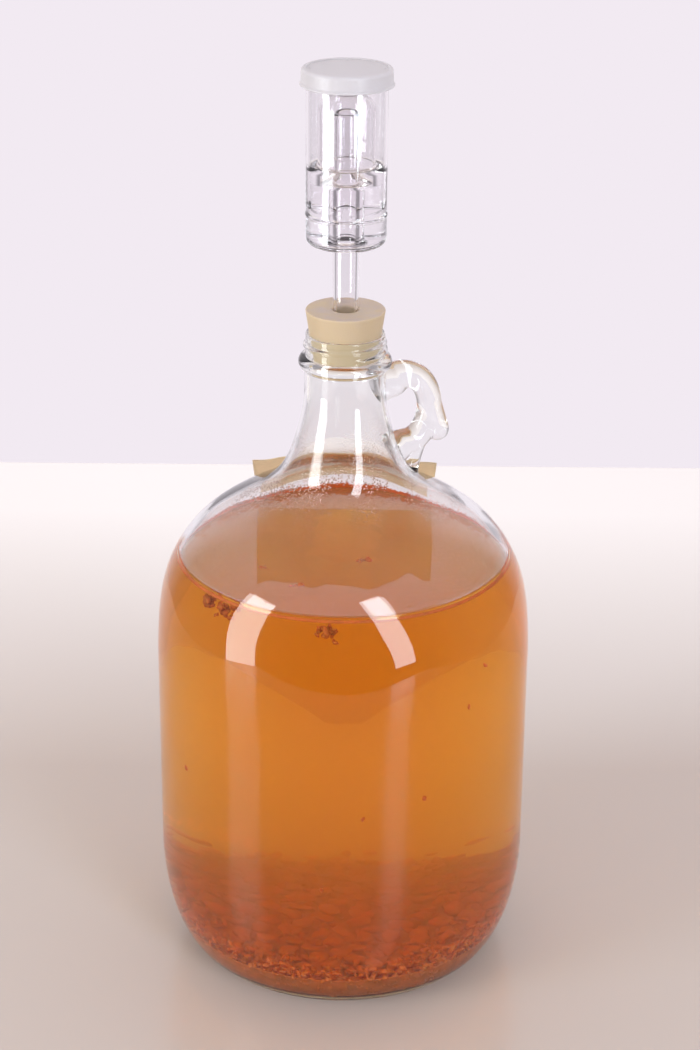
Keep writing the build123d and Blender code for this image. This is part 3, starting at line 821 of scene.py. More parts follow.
class JUG_OT_brew(bpy.types.Operator):
    """Brew: the jug's inside up to the level, whose surface climbs at the wall as exp(-distance)."""

    bl_idname = "jug.brew"
    bl_label = "Brew"

    def execute(self, context):
        size = sizes()[0]
        climb, reach = 1.5 * MM, 1.6 * MM
        top = size.liquid_level + climb
        edge = float(cavity_radius(size, top, -WET))
        wall = inner_outline(size, -WET)[::-1]
        wall = wall[wall[:, 1] < top - 0.2 * MM]
        away = edge * (1 - np.linspace(0, 1, 60) ** 2.2)
        surface = np.stack([away, size.liquid_level + climb * np.exp(-(edge - away) / reach)], 1)
        grid = uneven_wall(turned(np.concatenate([wall, surface])))
        piece = new_object("amber_brew", *turned_mesh(grid))
        mark(piece, "free", np.arange(len(grid)) >= len(wall))
        finish_piece(piece, "jug", "brew", brew_material())
        return {"FINISHED"}


# Pulp


def crumb_points(places, halves, seed, tilt=0.6, rows=6, columns=9, spin=None):
    """Crumpled flakes: balls of a few faces, stretched to half lengths, dented, turned and put in place."""
    draw = np.random.default_rng(seed)
    fall = np.linspace(-90, 90, rows)
    ball = turned(np.stack([np.cos(np.radians(fall)), np.sin(np.radians(fall))], 1), columns)
    points, faces = turned_mesh(ball)
    count, each = len(places), len(points)
    shapes = points * (1 + draw.normal(0, 0.16, (count, each, 1)))
    bend = np.sin(shapes[..., :1] * 2.5 + draw.uniform(0, TAU, (count, 1, 1)))
    shapes = (shapes + bend * np.array([0, 0, 0.35])) * halves[:, None, :]
    if spin is None:
        spin = draw.uniform(0, TAU, count)
    turns = rotations(spin, draw.normal(0, tilt, count), draw.normal(0, tilt, count))
    shapes = np.einsum("nij,nkj->nki", turns, shapes) + places[:, None, :]
    offsets = (np.arange(count) * each)[:, None, None]
    faces = [(f[None] + offsets).reshape(-1, f.shape[1]) for f in faces]
    return shapes.reshape(-1, 3), faces


def several(name, groups):
    """One object from several groups of points and faces."""
    starts = np.cumsum([0] + [len(points) for points, _ in groups])
    faces = [f + start for (_, fs), start in zip(groups, starts) for f in fs]
    quads = np.concatenate([f for f in faces if f.shape[1] == 4])
    fans = np.concatenate([f for f in faces if f.shape[1] == 3])
    return new_object(name, np.concatenate([points for points, _ in groups]), [quads, fans])


def half_lengths(lengths, draw, flatness):
    """Half lengths of crumbs along their own three axes."""
    count = len(lengths)
    shares = [np.ones(count), draw.uniform(0.5, 0.9, count), draw.uniform(0.6, 1.2, count) * flatness]
    return np.stack(shares, 1) * lengths[:, None] / 2


def rotations(spin, lean, roll):
    """Turning matrices: about the upright axis, then about the two level ones."""
    c, s = np.cos, np.sin
    o, z = np.ones_like(spin), np.zeros_like(spin)
    about_z = np.stack([c(spin), -s(spin), z, s(spin), c(spin), z, z, z, o], -1).reshape(-1, 3, 3)
    about_x = np.stack([o, z, z, z, c(lean), -s(lean), z, s(lean), c(lean)], -1).reshape(-1, 3, 3)
    about_y = np.stack([c(roll), z, s(roll), z, o, z, -s(roll), z, c(roll)], -1).reshape(-1, 3, 3)
    return about_z @ about_x @ about_y


PULP_GAP = 0.35 * MM  # between pulp and glass
BED_GAP = 1.4 * MM  # flakes lie between the bed and the glass
BED_RIM = 18.5 * MM
BED_MIDDLE = 15.0 * MM  # top of the bed in the middle
BED_PILE = 3.5 * MM  # by which it is higher at the wall
BED_LUMP = 0.9 * MM
BED_LUMP_LENGTH = 12 * MM
FLAKE_COUNT = 150
FLAKE_BOTTOM = 15.45 * MM
FLAKE_INSET = 4.6 * MM
FLAKE_HEIGHT = 4.6 * MM
FLAKE_HALF_LENGTH = 4.3 * MM
FLAKE_HALF_WIDTH = 3.2 * MM
GOLDEN_ANGLE = math.radians(137.508)
SMALL_FLAKES = 1700
SMALL_FLAKE_LENGTHS = (1.8, 5.0)  # in millimetres, as are the next ranges
WALL_FLAKES = 1000
WALL_FLAKE_LENGTHS = (1.6, 4.2)
WALL_FLAKE_LEVELS = (7.5, 19.0)
CRUMB_LENGTHS = (1.2, 3.0)
FILM_GRAINS = 500
FILM_GRAIN_LENGTHS = (0.4, 1.1)
FILM_TURNS = (0.05 * TAU, 0.45 * TAU)  # the grains lie at the back
CLUMP_TURNS = np.radians([-95.2, -133.5, -142.6])
CLUMP_DROP = 6 * MM
CLUMP_INSET = 6.2 * MM
SPOT_PLACES = np.array([(8.0, -9.5), (-34.9, -18.1), (-20.4, -36.9)]) * MM
SPOT_DROP = 0.9 * MM
SPECK_TURNS = np.radians([-38.0, -45.7, -62.4, -83.0, -96.2, -150.6])
SPECK_LEVEL_SHARES = np.array([0.835, 0.753, 0.557, 0.525, 0.341, 0.544])
SPECK_INSET = 6.3 * MM
SPECK_LENGTH = 2.6 * MM


def bed_height(size, x, y):
    """Top of the pulp: low in the middle, piled against the wall, and lumpy."""
    away = np.hypot(x, y) / (size.jug_diameter / 2)
    lumps = waves(np.stack([x, y, 0 * x], -1), BED_LUMP_LENGTH, 11) * BED_LUMP
    return BED_MIDDLE + BED_PILE * away**3 + lumps


def pulp_bed(size):
    """The bed: the jug's inside up to a rim, closed by a top that follows bed_height."""
    rows = np.linspace(0, 1, 50)
    wall = inner_outline(size, BED_GAP)[::-1]
    wall = wall[wall[:, 1] < BED_RIM]
    top = np.stack([cavity_radius(size, BED_RIM, BED_GAP) * (1 - rows), BED_RIM + 0 * rows], 1)
    grid = turned(np.concatenate([wall, top]), 160)
    lumpy = grid[len(wall) :]
    across = np.linalg.norm(lumpy[..., :2], axis=-1)
    held = np.clip((across.max() - across) / (3 * MM), 0, 1)
    raised = bed_height(size, lumpy[..., 0], lumpy[..., 1])
    lumpy[..., 2] = BED_RIM + (raised - BED_RIM) * held
    return [turned_mesh(grid)]


def pulp_flakes(size, draw):
    """Large flakes along a spiral, each a golden angle on, and small ones on and beside the bed."""
    number = np.arange(FLAKE_COUNT)
    spiral = GOLDEN_ANGLE * number
    field = cavity_radius(size, FLAKE_BOTTOM, 0) - FLAKE_INSET
    away = field * np.sqrt((number + 1) / FLAKE_COUNT)
    tall = FLAKE_HEIGHT * (1 - 0.2 * (number % 3))
    halves = np.stack(np.broadcast_arrays(FLAKE_HALF_LENGTH, FLAKE_HALF_WIDTH, tall / 2.3), 1)
    places = around(away, spiral, FLAKE_BOTTOM + tall / 2)
    large = crumb_points(places, halves, 6, 0.12, spin=spiral * number)

    lengths = draw.uniform(*SMALL_FLAKE_LENGTHS, SMALL_FLAKES) * MM
    share = draw.uniform(0, 1, SMALL_FLAKES) ** 0.36
    turn = draw.uniform(0, TAU, SMALL_FLAKES)
    rise = draw.gamma(1.6, 1.7 * MM, SMALL_FLAKES) * share**3
    reach = cavity_radius(size, 18 * MM + rise, PULP_GAP) - lengths / 2 - 0.3 * MM
    places = around(reach * share, turn, 0 * rise)
    places[:, 2] = bed_height(size, places[:, 0], places[:, 1]) + 0.9 * MM + rise
    small = crumb_points(places, half_lengths(lengths, draw, 0.5), 7, rows=5, columns=7)

    lengths = draw.uniform(*WALL_FLAKE_LENGTHS, WALL_FLAKES) * MM
    turn = draw.uniform(0, TAU, WALL_FLAKES)
    level = draw.uniform(*WALL_FLAKE_LEVELS, WALL_FLAKES) * MM
    reach = cavity_radius(size, level - lengths / 3, PULP_GAP) - lengths / 2.3
    halves = half_lengths(lengths, draw, 0.6)
    return [large, small, crumb_points(around(reach, turn, level), halves, 13, 0.9, 5, 7)]


def pulp_clumps(size, draw):
    """Crumbs scattered round each clump under the surface and each spot on it, and the film."""
    level = size.liquid_level - CLUMP_DROP
    away = cavity_radius(size, level, 0) - CLUMP_INSET
    groups = [(around(away, turn, level), 30, (2.2, 1.2, 1.3)) for turn in CLUMP_TURNS]
    groups += [((*spot, size.liquid_level - SPOT_DROP), 7, (1.3, 1.0, 0.2)) for spot in SPOT_PLACES]
    places = np.concatenate(
        [centre + draw.normal(0, 1, (count, 3)) * np.array(spread) * MM for centre, count, spread in groups]
    )
    lengths = draw.uniform(*CRUMB_LENGTHS, len(places)) * MM
    lengths[::8] *= 2.0
    return [crumb_points(places, half_lengths(lengths, draw, 0.7), 8)] + pulp_film(size, draw)


def pulp_film(size, draw):
    """Fine pulp that dried on the glass just above the brew: high at the back, a line in front.

    A band round the inner wall, whose top is level + 0.3 mm + 3.1 mm * share behind * raggedness,
    and loose grains at the back.
    """
    turn = np.arange(900) * TAU / 900
    behind = np.clip(np.sin(turn) + 0.6, 0, 1) ** 1.5
    wall = around(1, turn, 0 * turn) * size.jug_diameter / 2
    ragged = 0.85 + 0.18 * waves(wall, 9 * MM, 31) + 0.12 * waves(wall, 2.6 * MM, 32)
    top = size.liquid_level + (0.3 + 3.1 * behind * ragged) * MM
    bottom = size.liquid_level - 0.8 * MM
    up = np.concatenate([np.linspace(0, 1, 7), np.linspace(1, 0, 7)])[:, None]
    off = np.repeat([0.12 * MM, 0.4 * MM], 7)[:, None]
    level = bottom + (top - bottom) * up
    band = turned_mesh(around(cavity_radius(size, level, 0) - off, turn, level), True)

    turn = draw.uniform(*FILM_TURNS, FILM_GRAINS)
    level = size.liquid_level + (2.2 + draw.gamma(1.2, 0.9, FILM_GRAINS)) * MM
    places = around(cavity_radius(size, level, 0.3 * MM), turn, level)
    halves = half_lengths(draw.uniform(*FILM_GRAIN_LENGTHS, FILM_GRAINS) * MM, draw, 0.6)
    return [band, crumb_points(places, halves, 12, 0.8, 4, 6)]


def pulp_specks(size, draw):
    """Single crumbs that drift in the brew."""
    levels = size.liquid_level * SPECK_LEVEL_SHARES
    away = cavity_radius(size, levels, 0) - SPECK_INSET
    lengths = np.full(len(levels), SPECK_LENGTH)
    return [crumb_points(around(away, SPECK_TURNS, levels), half_lengths(lengths, draw, 0.8), 9)]


class JUG_OT_pulp(bpy.types.Operator):
    """Pulp: a lumpy bed on the floor, flakes heaped on it, clumps at the surface and drifting specks."""

    bl_idname = "jug.pulp"
    bl_label = "Fruit pulp"

    def execute(self, context):
        size = sizes()[0]
        soaked = pulp_material()
        draw = np.random.default_rng(5)
        for name, node, groups in (
            ("pulp_heap", "pulp_bed", pulp_bed(size)),
            ("pulp_flakes_heaped", "pulp_flakes", pulp_flakes(size, draw)),
            ("pulp_clumps", "floating_clumps", pulp_clumps(size, draw)),
            ("pulp_specks", "drifting_specks", pulp_specks(size, draw)),
        ):
            finish_piece(several(name, groups), "jug", node, soaked)
        return {"FINISHED"}


# Stopper and airlock

STOPPER_CLEARANCE = 0.06 * MM
STEM_EXPOSED = 29.2 * MM
STEM_INSERTED = 20.8 * MM
STEM_TOP_RADIUS = 5.75 * MM
STEM_TIP_RADIUS = 5.35 * MM
TUBE_WALL = 1.3 * MM
RISER_RADIUS = 5.6 * MM
CUP_FLOOR = 2.2 * MM
CUP_CORNER = 3.2 * MM
LINE_HEIGHT = 13 * MM  # moulded line round the cup
LINE_SIZE = (0.25 * MM, 0.35 * MM)
CROWN_RADIUS = 5.5 * MM
CROWN_DROP = 6.2 * MM
NOTCH_HEIGHT = 3.5 * MM
NOTCH_HALF_WIDTH = 1.5 * MM
NOTCH_FADE = 12 * MM
CAP_RISE = 1.8 * MM  # above the cup's rim
CAP_HEIGHT = 7.4 * MM
CAP_PLAY = 0.75 * MM
FLANGE_RADIUS = 19.95 * MM
RIM_WIDTH = 2.2 * MM
RECESS = 0.6 * MM
PIN_RADIUS = 0.6 * MM
PIN_REACH = 15.5 * MM
GROOVE_PLAY = 0.05 * MM  # between the float and the water's groove
HAIR = 0.01 * MM  # closer than this counts as touching


def stopper_top(size, lock):
    """Height of the stopper's top, seated where its taper meets the mouth's edge."""
    taper = (lock.stopper_top_diameter - lock.stopper_bottom_diameter) / 2 / lock.stopper_height
    seat = size.mouth_diameter / 2 - STOPPER_CLEARANCE
    return size.jug_height + (lock.stopper_top_diameter / 2 - seat) / taper


def cup_underside():
    """Height of the airlock cup's underside."""
    return stopper_top(*sizes()) + STEM_EXPOSED


def float_top():
    """Height of the float's crown, as packed."""
    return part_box("airlock_float")[1].z


class JUG_OT_stopper(bpy.types.Operator):
    """Drilled rubber stopper: a tapered plug with rounded edges, turned round its bore."""

    bl_idname = "jug.stopper"
    bl_label = "Rubber stopper"

    def execute(self, context):
        size, lock = sizes()
        top = stopper_top(size, lock)
        bottom = top - lock.stopper_height
        wide, narrow = lock.stopper_top_diameter / 2, lock.stopper_bottom_diameter / 2
        edge, mouth = 0.6 * MM, 0.9 * MM
        bore = STEM_TIP_RADIUS + 0.05 * MM
        bore_top = bore + 0.17 * MM
        outline = np.concatenate(
            [
                run((bore, bottom), (narrow - edge, bottom), 12),
                arc((narrow - edge, bottom + edge), edge, -90, -8, 6)[1:],
                run((narrow, bottom + edge), (wide, top - edge), 40)[1:],
                arc((wide - edge, top - edge), edge, 0, 90, 7)[1:],
                run((wide - edge, top), (bore_top + mouth, top), 16)[1:],
                arc((bore_top + mouth, top - mouth), mouth, 90, 180, 7)[1:],
                run((bore_top, top - mouth), (bore, bottom), 24)[1:-1],
            ]
        )
        piece = new_object("stopper_rubber", *turned_mesh(turned(outline, SMALL_TURN_STEPS), True))
        finish_piece(piece, "stopper", "rubber_stopper", rubber_material())
        return {"FINISHED"}


class JUG_OT_airlock_body(bpy.types.Operator):
    """Airlock body: stem, rounded cup and riser in one outline, turned round the gas way."""

    bl_idname = "jug.airlock_body"
    bl_label = "Airlock body"

    def execute(self, context):
        size, lock = sizes()
        under = cup_underside()
        tip = stopper_top(size, lock) - STEM_INSERTED
        cup, wall = lock.cup_diameter / 2, lock.cup_wall
        top, floor = under + lock.cup_height, under + CUP_FLOOR
        riser = under + lock.riser_height
        root, inner_root, nick = 1.2 * MM, 1.4 * MM, 0.2 * MM
        inner_corner = CUP_CORNER - wall
        line = LINE_HEIGHT + under
        bore_tip, bore_top = STEM_TIP_RADIUS - TUBE_WALL, RISER_RADIUS - TUBE_WALL
        outline = drawn(
            (bore_tip + nick, tip),
            ((STEM_TIP_RADIUS - nick, tip), 4),
            ((STEM_TIP_RADIUS, tip + nick), 2),
            ((STEM_TOP_RADIUS, under - root), 50),
            ((STEM_TOP_RADIUS + root, under - root), root, 180, 90, 8),
            ((cup - CUP_CORNER, under), 8),
            ((cup - CUP_CORNER, under + CUP_CORNER), CUP_CORNER, -90, 0, 16),
            ((cup, line - LINE_SIZE[1]), 10),
            ((cup, line), LINE_SIZE, -90, 90, 8),
            ((cup, top - 1.8 * MM), 30),
            ((cup, top - 1.0 * MM), (0.6 * MM, 0.8 * MM), -90, 30, 8),
            ((cup + 0.5 * MM, top), 2),
            ((cup - wall + 0.3 * MM, top), 4),
            ((cup - wall, top - 0.3 * MM), 2),
            ((cup - wall, floor + inner_corner), 40),
            ((cup - wall - inner_corner, floor + inner_corner), inner_corner, 0, -90, 10),
            ((RISER_RADIUS + inner_root, floor), 6),
            ((RISER_RADIUS + inner_root, floor + inner_root), inner_root, -90, -180, 8),
            ((RISER_RADIUS, riser - 0.4 * MM), 36),
            ((RISER_RADIUS - 0.4 * MM, riser - 0.4 * MM), 0.4 * MM, 0, 90, 5),
            ((bore_top + 0.3 * MM, riser), 2),
            ((bore_top, riser - 0.3 * MM), 3),
            ((bore_top, under), 36),
            ((bore_tip, tip + nick), 36),
        )
        piece = new_object("airlock_cup_and_stem", *turned_mesh(turned(outline, SMALL_TURN_STEPS), True))
        radius, height = outline.T
        level = under + np.where(radius < lock.float_diameter / 2, lock.inner_level, lock.outer_level)
        between = (radius > RISER_RADIUS - HAIR) & (radius < cup - wall + HAIR) & (height > floor - HAIR)
        mark(piece, "touched", between & (height < level), True)
        finish_piece(piece, "airlock", "airlock_body", airlock_plastic())
        return {"FINISHED"}


class JUG_OT_airlock_float(bpy.types.Operator):
    """Airlock float: an inverted bell with a rounded crown, and notches where the skirt's edge rises."""

    bl_idname = "jug.airlock_float"
    bl_label = "Airlock float"

    def execute(self, context):
        lock = sizes()[1]
        top = float_top()
        bottom = top - lock.float_height
        out, wall = lock.float_diameter / 2, lock.float_wall

        def bell(radius, crown, high):
            """Flat crown, and a shoulder that curves down to the wall's radius."""
            middle = ((crown + radius) / 2 + 0.9 * MM, high - CROWN_DROP * 0.34)
            places = [(crown, high), middle, (radius, high - CROWN_DROP)]
            shoulder = smooth_curve(places, (1.0, -0.12), (0.05, -1.0), 24)
            return np.concatenate([run((0, high), (crown, high), 6), shoulder[1:]])

        outside = bell(out, CROWN_RADIUS, top)
        inside = bell(out - wall, CROWN_RADIUS - wall / 2, top - wall)
        skirt = run((out, top - CROWN_DROP), (out, bottom), 50)[1:]
        inner_skirt = run((out - wall, bottom), (out - wall, top - CROWN_DROP - wall), 50)
        outline = np.concatenate([inside[:-1], inner_skirt[::-1], skirt[::-1], outside[::-1][1:]])
        grid = turned(outline, SMALL_TURN_STEPS)
        turn = np.arange(SMALL_TURN_STEPS) * TAU / SMALL_TURN_STEPS
        aside = np.abs((turn + TAU / 8) % (TAU / 4) - TAU / 8) * out
        notch = NOTCH_HEIGHT * np.clip((NOTCH_HALF_WIDTH - aside) / (0.25 * MM) + 0.5, 0, 1)
        grid[..., 2] += notch * np.clip((bottom + NOTCH_FADE - grid[..., 2]) / NOTCH_FADE, 0, 1)
        piece = new_object("airlock_bell", *turned_mesh(grid))
        radius, height = outline.T
        level = cup_underside() + np.where(radius > out - wall / 2, lock.outer_level, lock.inner_level)
        mark(piece, "touched", height < level)
        finish_piece(piece, "float", "airlock_float", airlock_plastic())
        return {"FINISHED"}


class JUG_OT_airlock_cap(bpy.types.Operator):
    """Airlock cap: a shallow lid with a raised rim and a flange, turned, with pin holes cut through."""

    bl_idname = "jug.airlock_cap"
    bl_label = "Airlock cap"

    def execute(self, context):
        lock = sizes()[1]
        cup_top = cup_underside() + lock.cup_height
        high = cup_top + CAP_RISE
        low = high - CAP_HEIGHT
        out, flange = lock.cap_diameter / 2, FLANGE_RADIUS
        inside = lock.cup_diameter / 2 + CAP_PLAY
        rim, recess = out - RIM_WIDTH, RECESS
        outline = drawn(
            (0, cup_top + 0.02 * MM),
            ((inside - 0.4 * MM, cup_top + 0.02 * MM), 16),
            ((inside, cup_top - 0.4 * MM), 2),
            ((inside, low + 0.2 * MM), 12),
            ((inside + 0.2 * MM, low + 0.2 * MM), 0.2 * MM, 180, 270, 4),
            ((inside + 0.3 * MM, low), 2),
            ((flange - 0.4 * MM, low), 5),
            ((flange - 0.4 * MM, low + 0.4 * MM), 0.4 * MM, -90, 60, 8),
            ((out + 0.4 * MM, low + 1.5 * MM), 0.4 * MM, 240, 180, 5),
            ((out, low + 1.6 * MM), 2),
            ((out, high - 1.6 * MM), 14),
            ((out - 1.6 * MM, high - 1.6 * MM), 1.6 * MM, 0, 90, 12),
            ((rim + 0.3 * MM, high), 2),
            ((rim + 0.3 * MM, high - 0.3 * MM), 0.3 * MM, 90, 180, 5),
            ((rim - 0.3 * MM, high - recess + 0.3 * MM), 0.3 * MM, 0, -90, 5),
            ((0, high - recess), 20),
        )
        piece = new_object("airlock_lid", *turned_mesh(turned(outline, SMALL_TURN_STEPS)))
        side = np.array([(0, low), (PIN_RADIUS, low), (PIN_RADIUS, high + MM), (0, high + MM)])
        for turn in np.arange(4) * TAU / 4:
            pin = turned(side, 20) + around(PIN_REACH, turn, 0)
            combine(piece, new_object("pin", *turned_mesh(pin)), "DIFFERENCE")
        piece.data.shade_smooth()
        finish_piece(piece, "cap", "airlock_cap", cap_material())
        return {"FINISHED"}


class JUG_OT_airlock_water(bpy.types.Operator):
    """Airlock water: fills the cup round the bell and inside it, and climbs a little at each wall.

    The bell runs in a groove, a little wider than its wall, which reaches down to where the bell
    would end if it sat on the riser.
    """

    bl_idname = "jug.airlock_water"
    bl_label = "Airlock water"

    def execute(self, context):
        lock = sizes()[1]
        under = cup_underside()
        cup_inside = lock.cup_diameter / 2 - lock.cup_wall + WET
        floor = under + CUP_FLOOR - WET
        out = lock.float_diameter / 2 + GROOVE_PLAY
        inside = lock.float_diameter / 2 - lock.float_wall - GROOVE_PLAY
        riser = RISER_RADIUS - WET
        skirt = under + lock.riser_height + lock.float_wall - lock.float_height - 4 * GROOVE_PLAY
        outer, inner = under + lock.outer_level, under + lock.inner_level
        corner = CUP_CORNER - lock.cup_wall
        climb, reach = 1.1 * MM, 0.8 * MM

        def level(first, last, height, count):
            """A surface between two walls, which climbs at each as exp(-distance)."""
            radius = (first + last) / 2 + (first - last) / 2 * np.cos(np.linspace(0, np.pi, count))
            gap = np.minimum(np.abs(radius - first), np.abs(radius - last))
            return np.stack([radius, height + climb * np.exp(-gap / reach)], 1)

        bottom = drawn(
            (riser, floor + 1.3 * MM),
            ((riser + 0.8 * MM, floor), 5),
            ((cup_inside - corner, floor), 8),
            ((cup_inside - corner, floor + corner), corner, -90, 0, 10),
            ((cup_inside, outer + MM), 16),
        )
        groove = drawn(
            (out, outer + MM), ((out, skirt), 14), ((inside, skirt), 4), ((inside, inner + MM), 10)
        )
        side = run((riser, inner + MM), (riser, floor + 1.3 * MM), 14)[1:-1]
        surfaces = level(cup_inside, out, outer, 20), level(inside, riser, inner, 20)
        outline = np.concatenate([bottom, surfaces[0], groove[1:], surfaces[1], side])
        piece = new_object("airlock_water_fill", *turned_mesh(turned(outline, SMALL_TURN_STEPS), True))
        radius, height = outline.T
        outside = (radius > out + HAIR) & (radius < cup_inside - HAIR) & (height > outer - HAIR)
        within = (radius > riser + HAIR) & (radius < inside - HAIR) & (height > inner - HAIR)
        mark(piece, "free", outside | within, True)
        finish_piece(piece, "airlock", "airlock_water", water_material())
        return {"FINISHED"}


# Labels

LABEL_THICKNESS = 0.3 * MM
LABEL_OFF = 0.3 * MM + LABEL_THICKNESS / 2  # from the glass to the middle of the paper
SHOULDER_HALF_WIDTH = 42 * MM
SHOULDER_LABEL_SHARES = (0.40, 0.685)  # lower and upper edge, along the shoulder
LABEL_UNROLL = (18.4 * MM, 32 * MM)  # flatter than the glass at the lower edge, and more towards the upper
CURL = 2.6 * MM
BODY_HALF_WIDTH = 48 * MM
BODY_LABEL_LEVELS = (88 * MM, 148 * MM)
POINT_HEIGHT = 54 * MM
POINT_HALF_WIDTH = 4 * MM
POINT_OVERRUN = 5 * MM


def sheet_mesh(middle):
    """A thin closed sheet: its faces lie half a thickness off the middle, joined round the rim."""
    normal = np.cross(np.gradient(middle, axis=0), np.gradient(middle, axis=1))
    off = normal / np.linalg.norm(normal, axis=-1)[..., None] * LABEL_THICKNESS / 2
    rows, columns = middle.shape[:2]
    count = rows * columns
    faces = grid_faces(rows, columns, False, False)
    index = np.arange(count).reshape(rows, columns)
    rim = np.concatenate([index[0], index[1:, -1], index[-1, -2::-1], index[-2:0:-1, 0]])
    on = np.roll(rim, -1)
    side = np.stack([rim, on, on + count, rim + count], 1)
    points = np.concatenate([(middle - off).reshape(-1, 3), (middle + off).reshape(-1, 3)])
    return points, [np.concatenate([faces, faces[:, ::-1] + count, side])]


def shoulder_sheet(size):
    """Middle of the shoulder label: each row is an arc that touches the shoulder at the back.

    The arcs are flatter than the glass, so the corners stand free, and curl as their square. The
    upper edge sags by 0.05 + 0.16 exp(-(distance from its right end's dip) squared), and is ragged.
    """
    shoulder = shoulder_curve(size, 400)
    share = shares_along(shoulder)
    along = directions(shoulder)
    low, high = SHOULDER_LABEL_SHARES
    up, over = np.linspace(0, 1, 40)[:, None], np.linspace(-1, 1, 70)[None, :]
    edge = np.stack([over[0] * SHOULDER_HALF_WIDTH, 0 * over[0], 0 * over[0]], -1)
    ragged = 0.035 * waves(edge, 16 * MM, 21)
    sag = 0.05 + 0.16 * np.exp(-(((over - 0.72) / 0.14) ** 2))
    height = low + (high - low) * up * (1 - (sag - ragged[None, :]) * up)
    columns = (*shoulder.T, *along.T)
    radius, level, outward, upward = (np.interp(height, share, column) for column in columns)
    glass_bend = float(np.interp(low, share, shoulder[:, 0] / along[:, 1]))
    bend = glass_bend + LABEL_UNROLL[0] + LABEL_UNROLL[1] * up
    turn = over * np.arcsin(SHOULDER_HALF_WIDTH / bend)
    curl = CURL * np.clip(np.abs(over) * 1.6 - 0.9, 0, 1) ** 2 * up**2
    reach = LABEL_OFF + bend * (np.cos(turn) - 1) + curl
    return np.stack([bend * np.sin(turn), radius + upward * reach, level - outward * reach], -1)


def body_sheet(size):
    """Middle of the body label: upright round the body, its lower edge drawn down to a blunt point."""
    body = size.jug_diameter / 2 + LABEL_OFF
    across = np.linspace(-1, 1, 90)[None, :] * BODY_HALF_WIDTH
    slope = (np.abs(across) - POINT_HALF_WIDTH) / (BODY_HALF_WIDTH + POINT_OVERRUN - POINT_HALF_WIDTH)
    bottom, top = BODY_LABEL_LEVELS
    up = np.linspace(0, 1, 30)[:, None]
    level = (bottom + POINT_HEIGHT * np.clip(slope, 0, 1)) * (1 - up) + top * up
    return np.stack(np.broadcast_arrays(across, np.sqrt(body**2 - across**2), level), -1)


class JUG_OT_labels(bpy.types.Operator):
    """Kraft labels: one bent round the shoulder with free corners, one on the body with a pointed end."""

    bl_idname = "jug.labels"
    bl_label = "Kraft labels"

    def execute(self, context):
        size = sizes()[0]
        kraft = kraft_material()
        for name, node, middle in (
            ("shoulder_paper", "shoulder_label", shoulder_sheet(size)),
            ("body_paper", "body_label", body_sheet(size)),
        ):
            finish_piece(new_object(name, *sheet_mesh(middle)), "jug", node, kraft)
        return {"FINISHED"}


# Stage

TABLE_HALF_SIZE = (0.7, 0.6)
WALL_DISTANCE = 0.585  # behind the jug's axis
WALL_HALF_WIDTH = 4
WALL_HEIGHT = 4
LAMP_DISTANCE = 1.1
LAMP_AIM = Vector((0, 0, 0.2))
CAMERA_PLACE = (2.69 * MM, -978.2 * MM, 633.3 * MM)
CAMERA_TILT = math.radians(66.51)  # from straight down
CAMERA_ROLL = math.radians(0.49)
CAMERA_LENS = 81.85  # in millimetres, on a frame of this height
FRAME_HEIGHT = 36.0


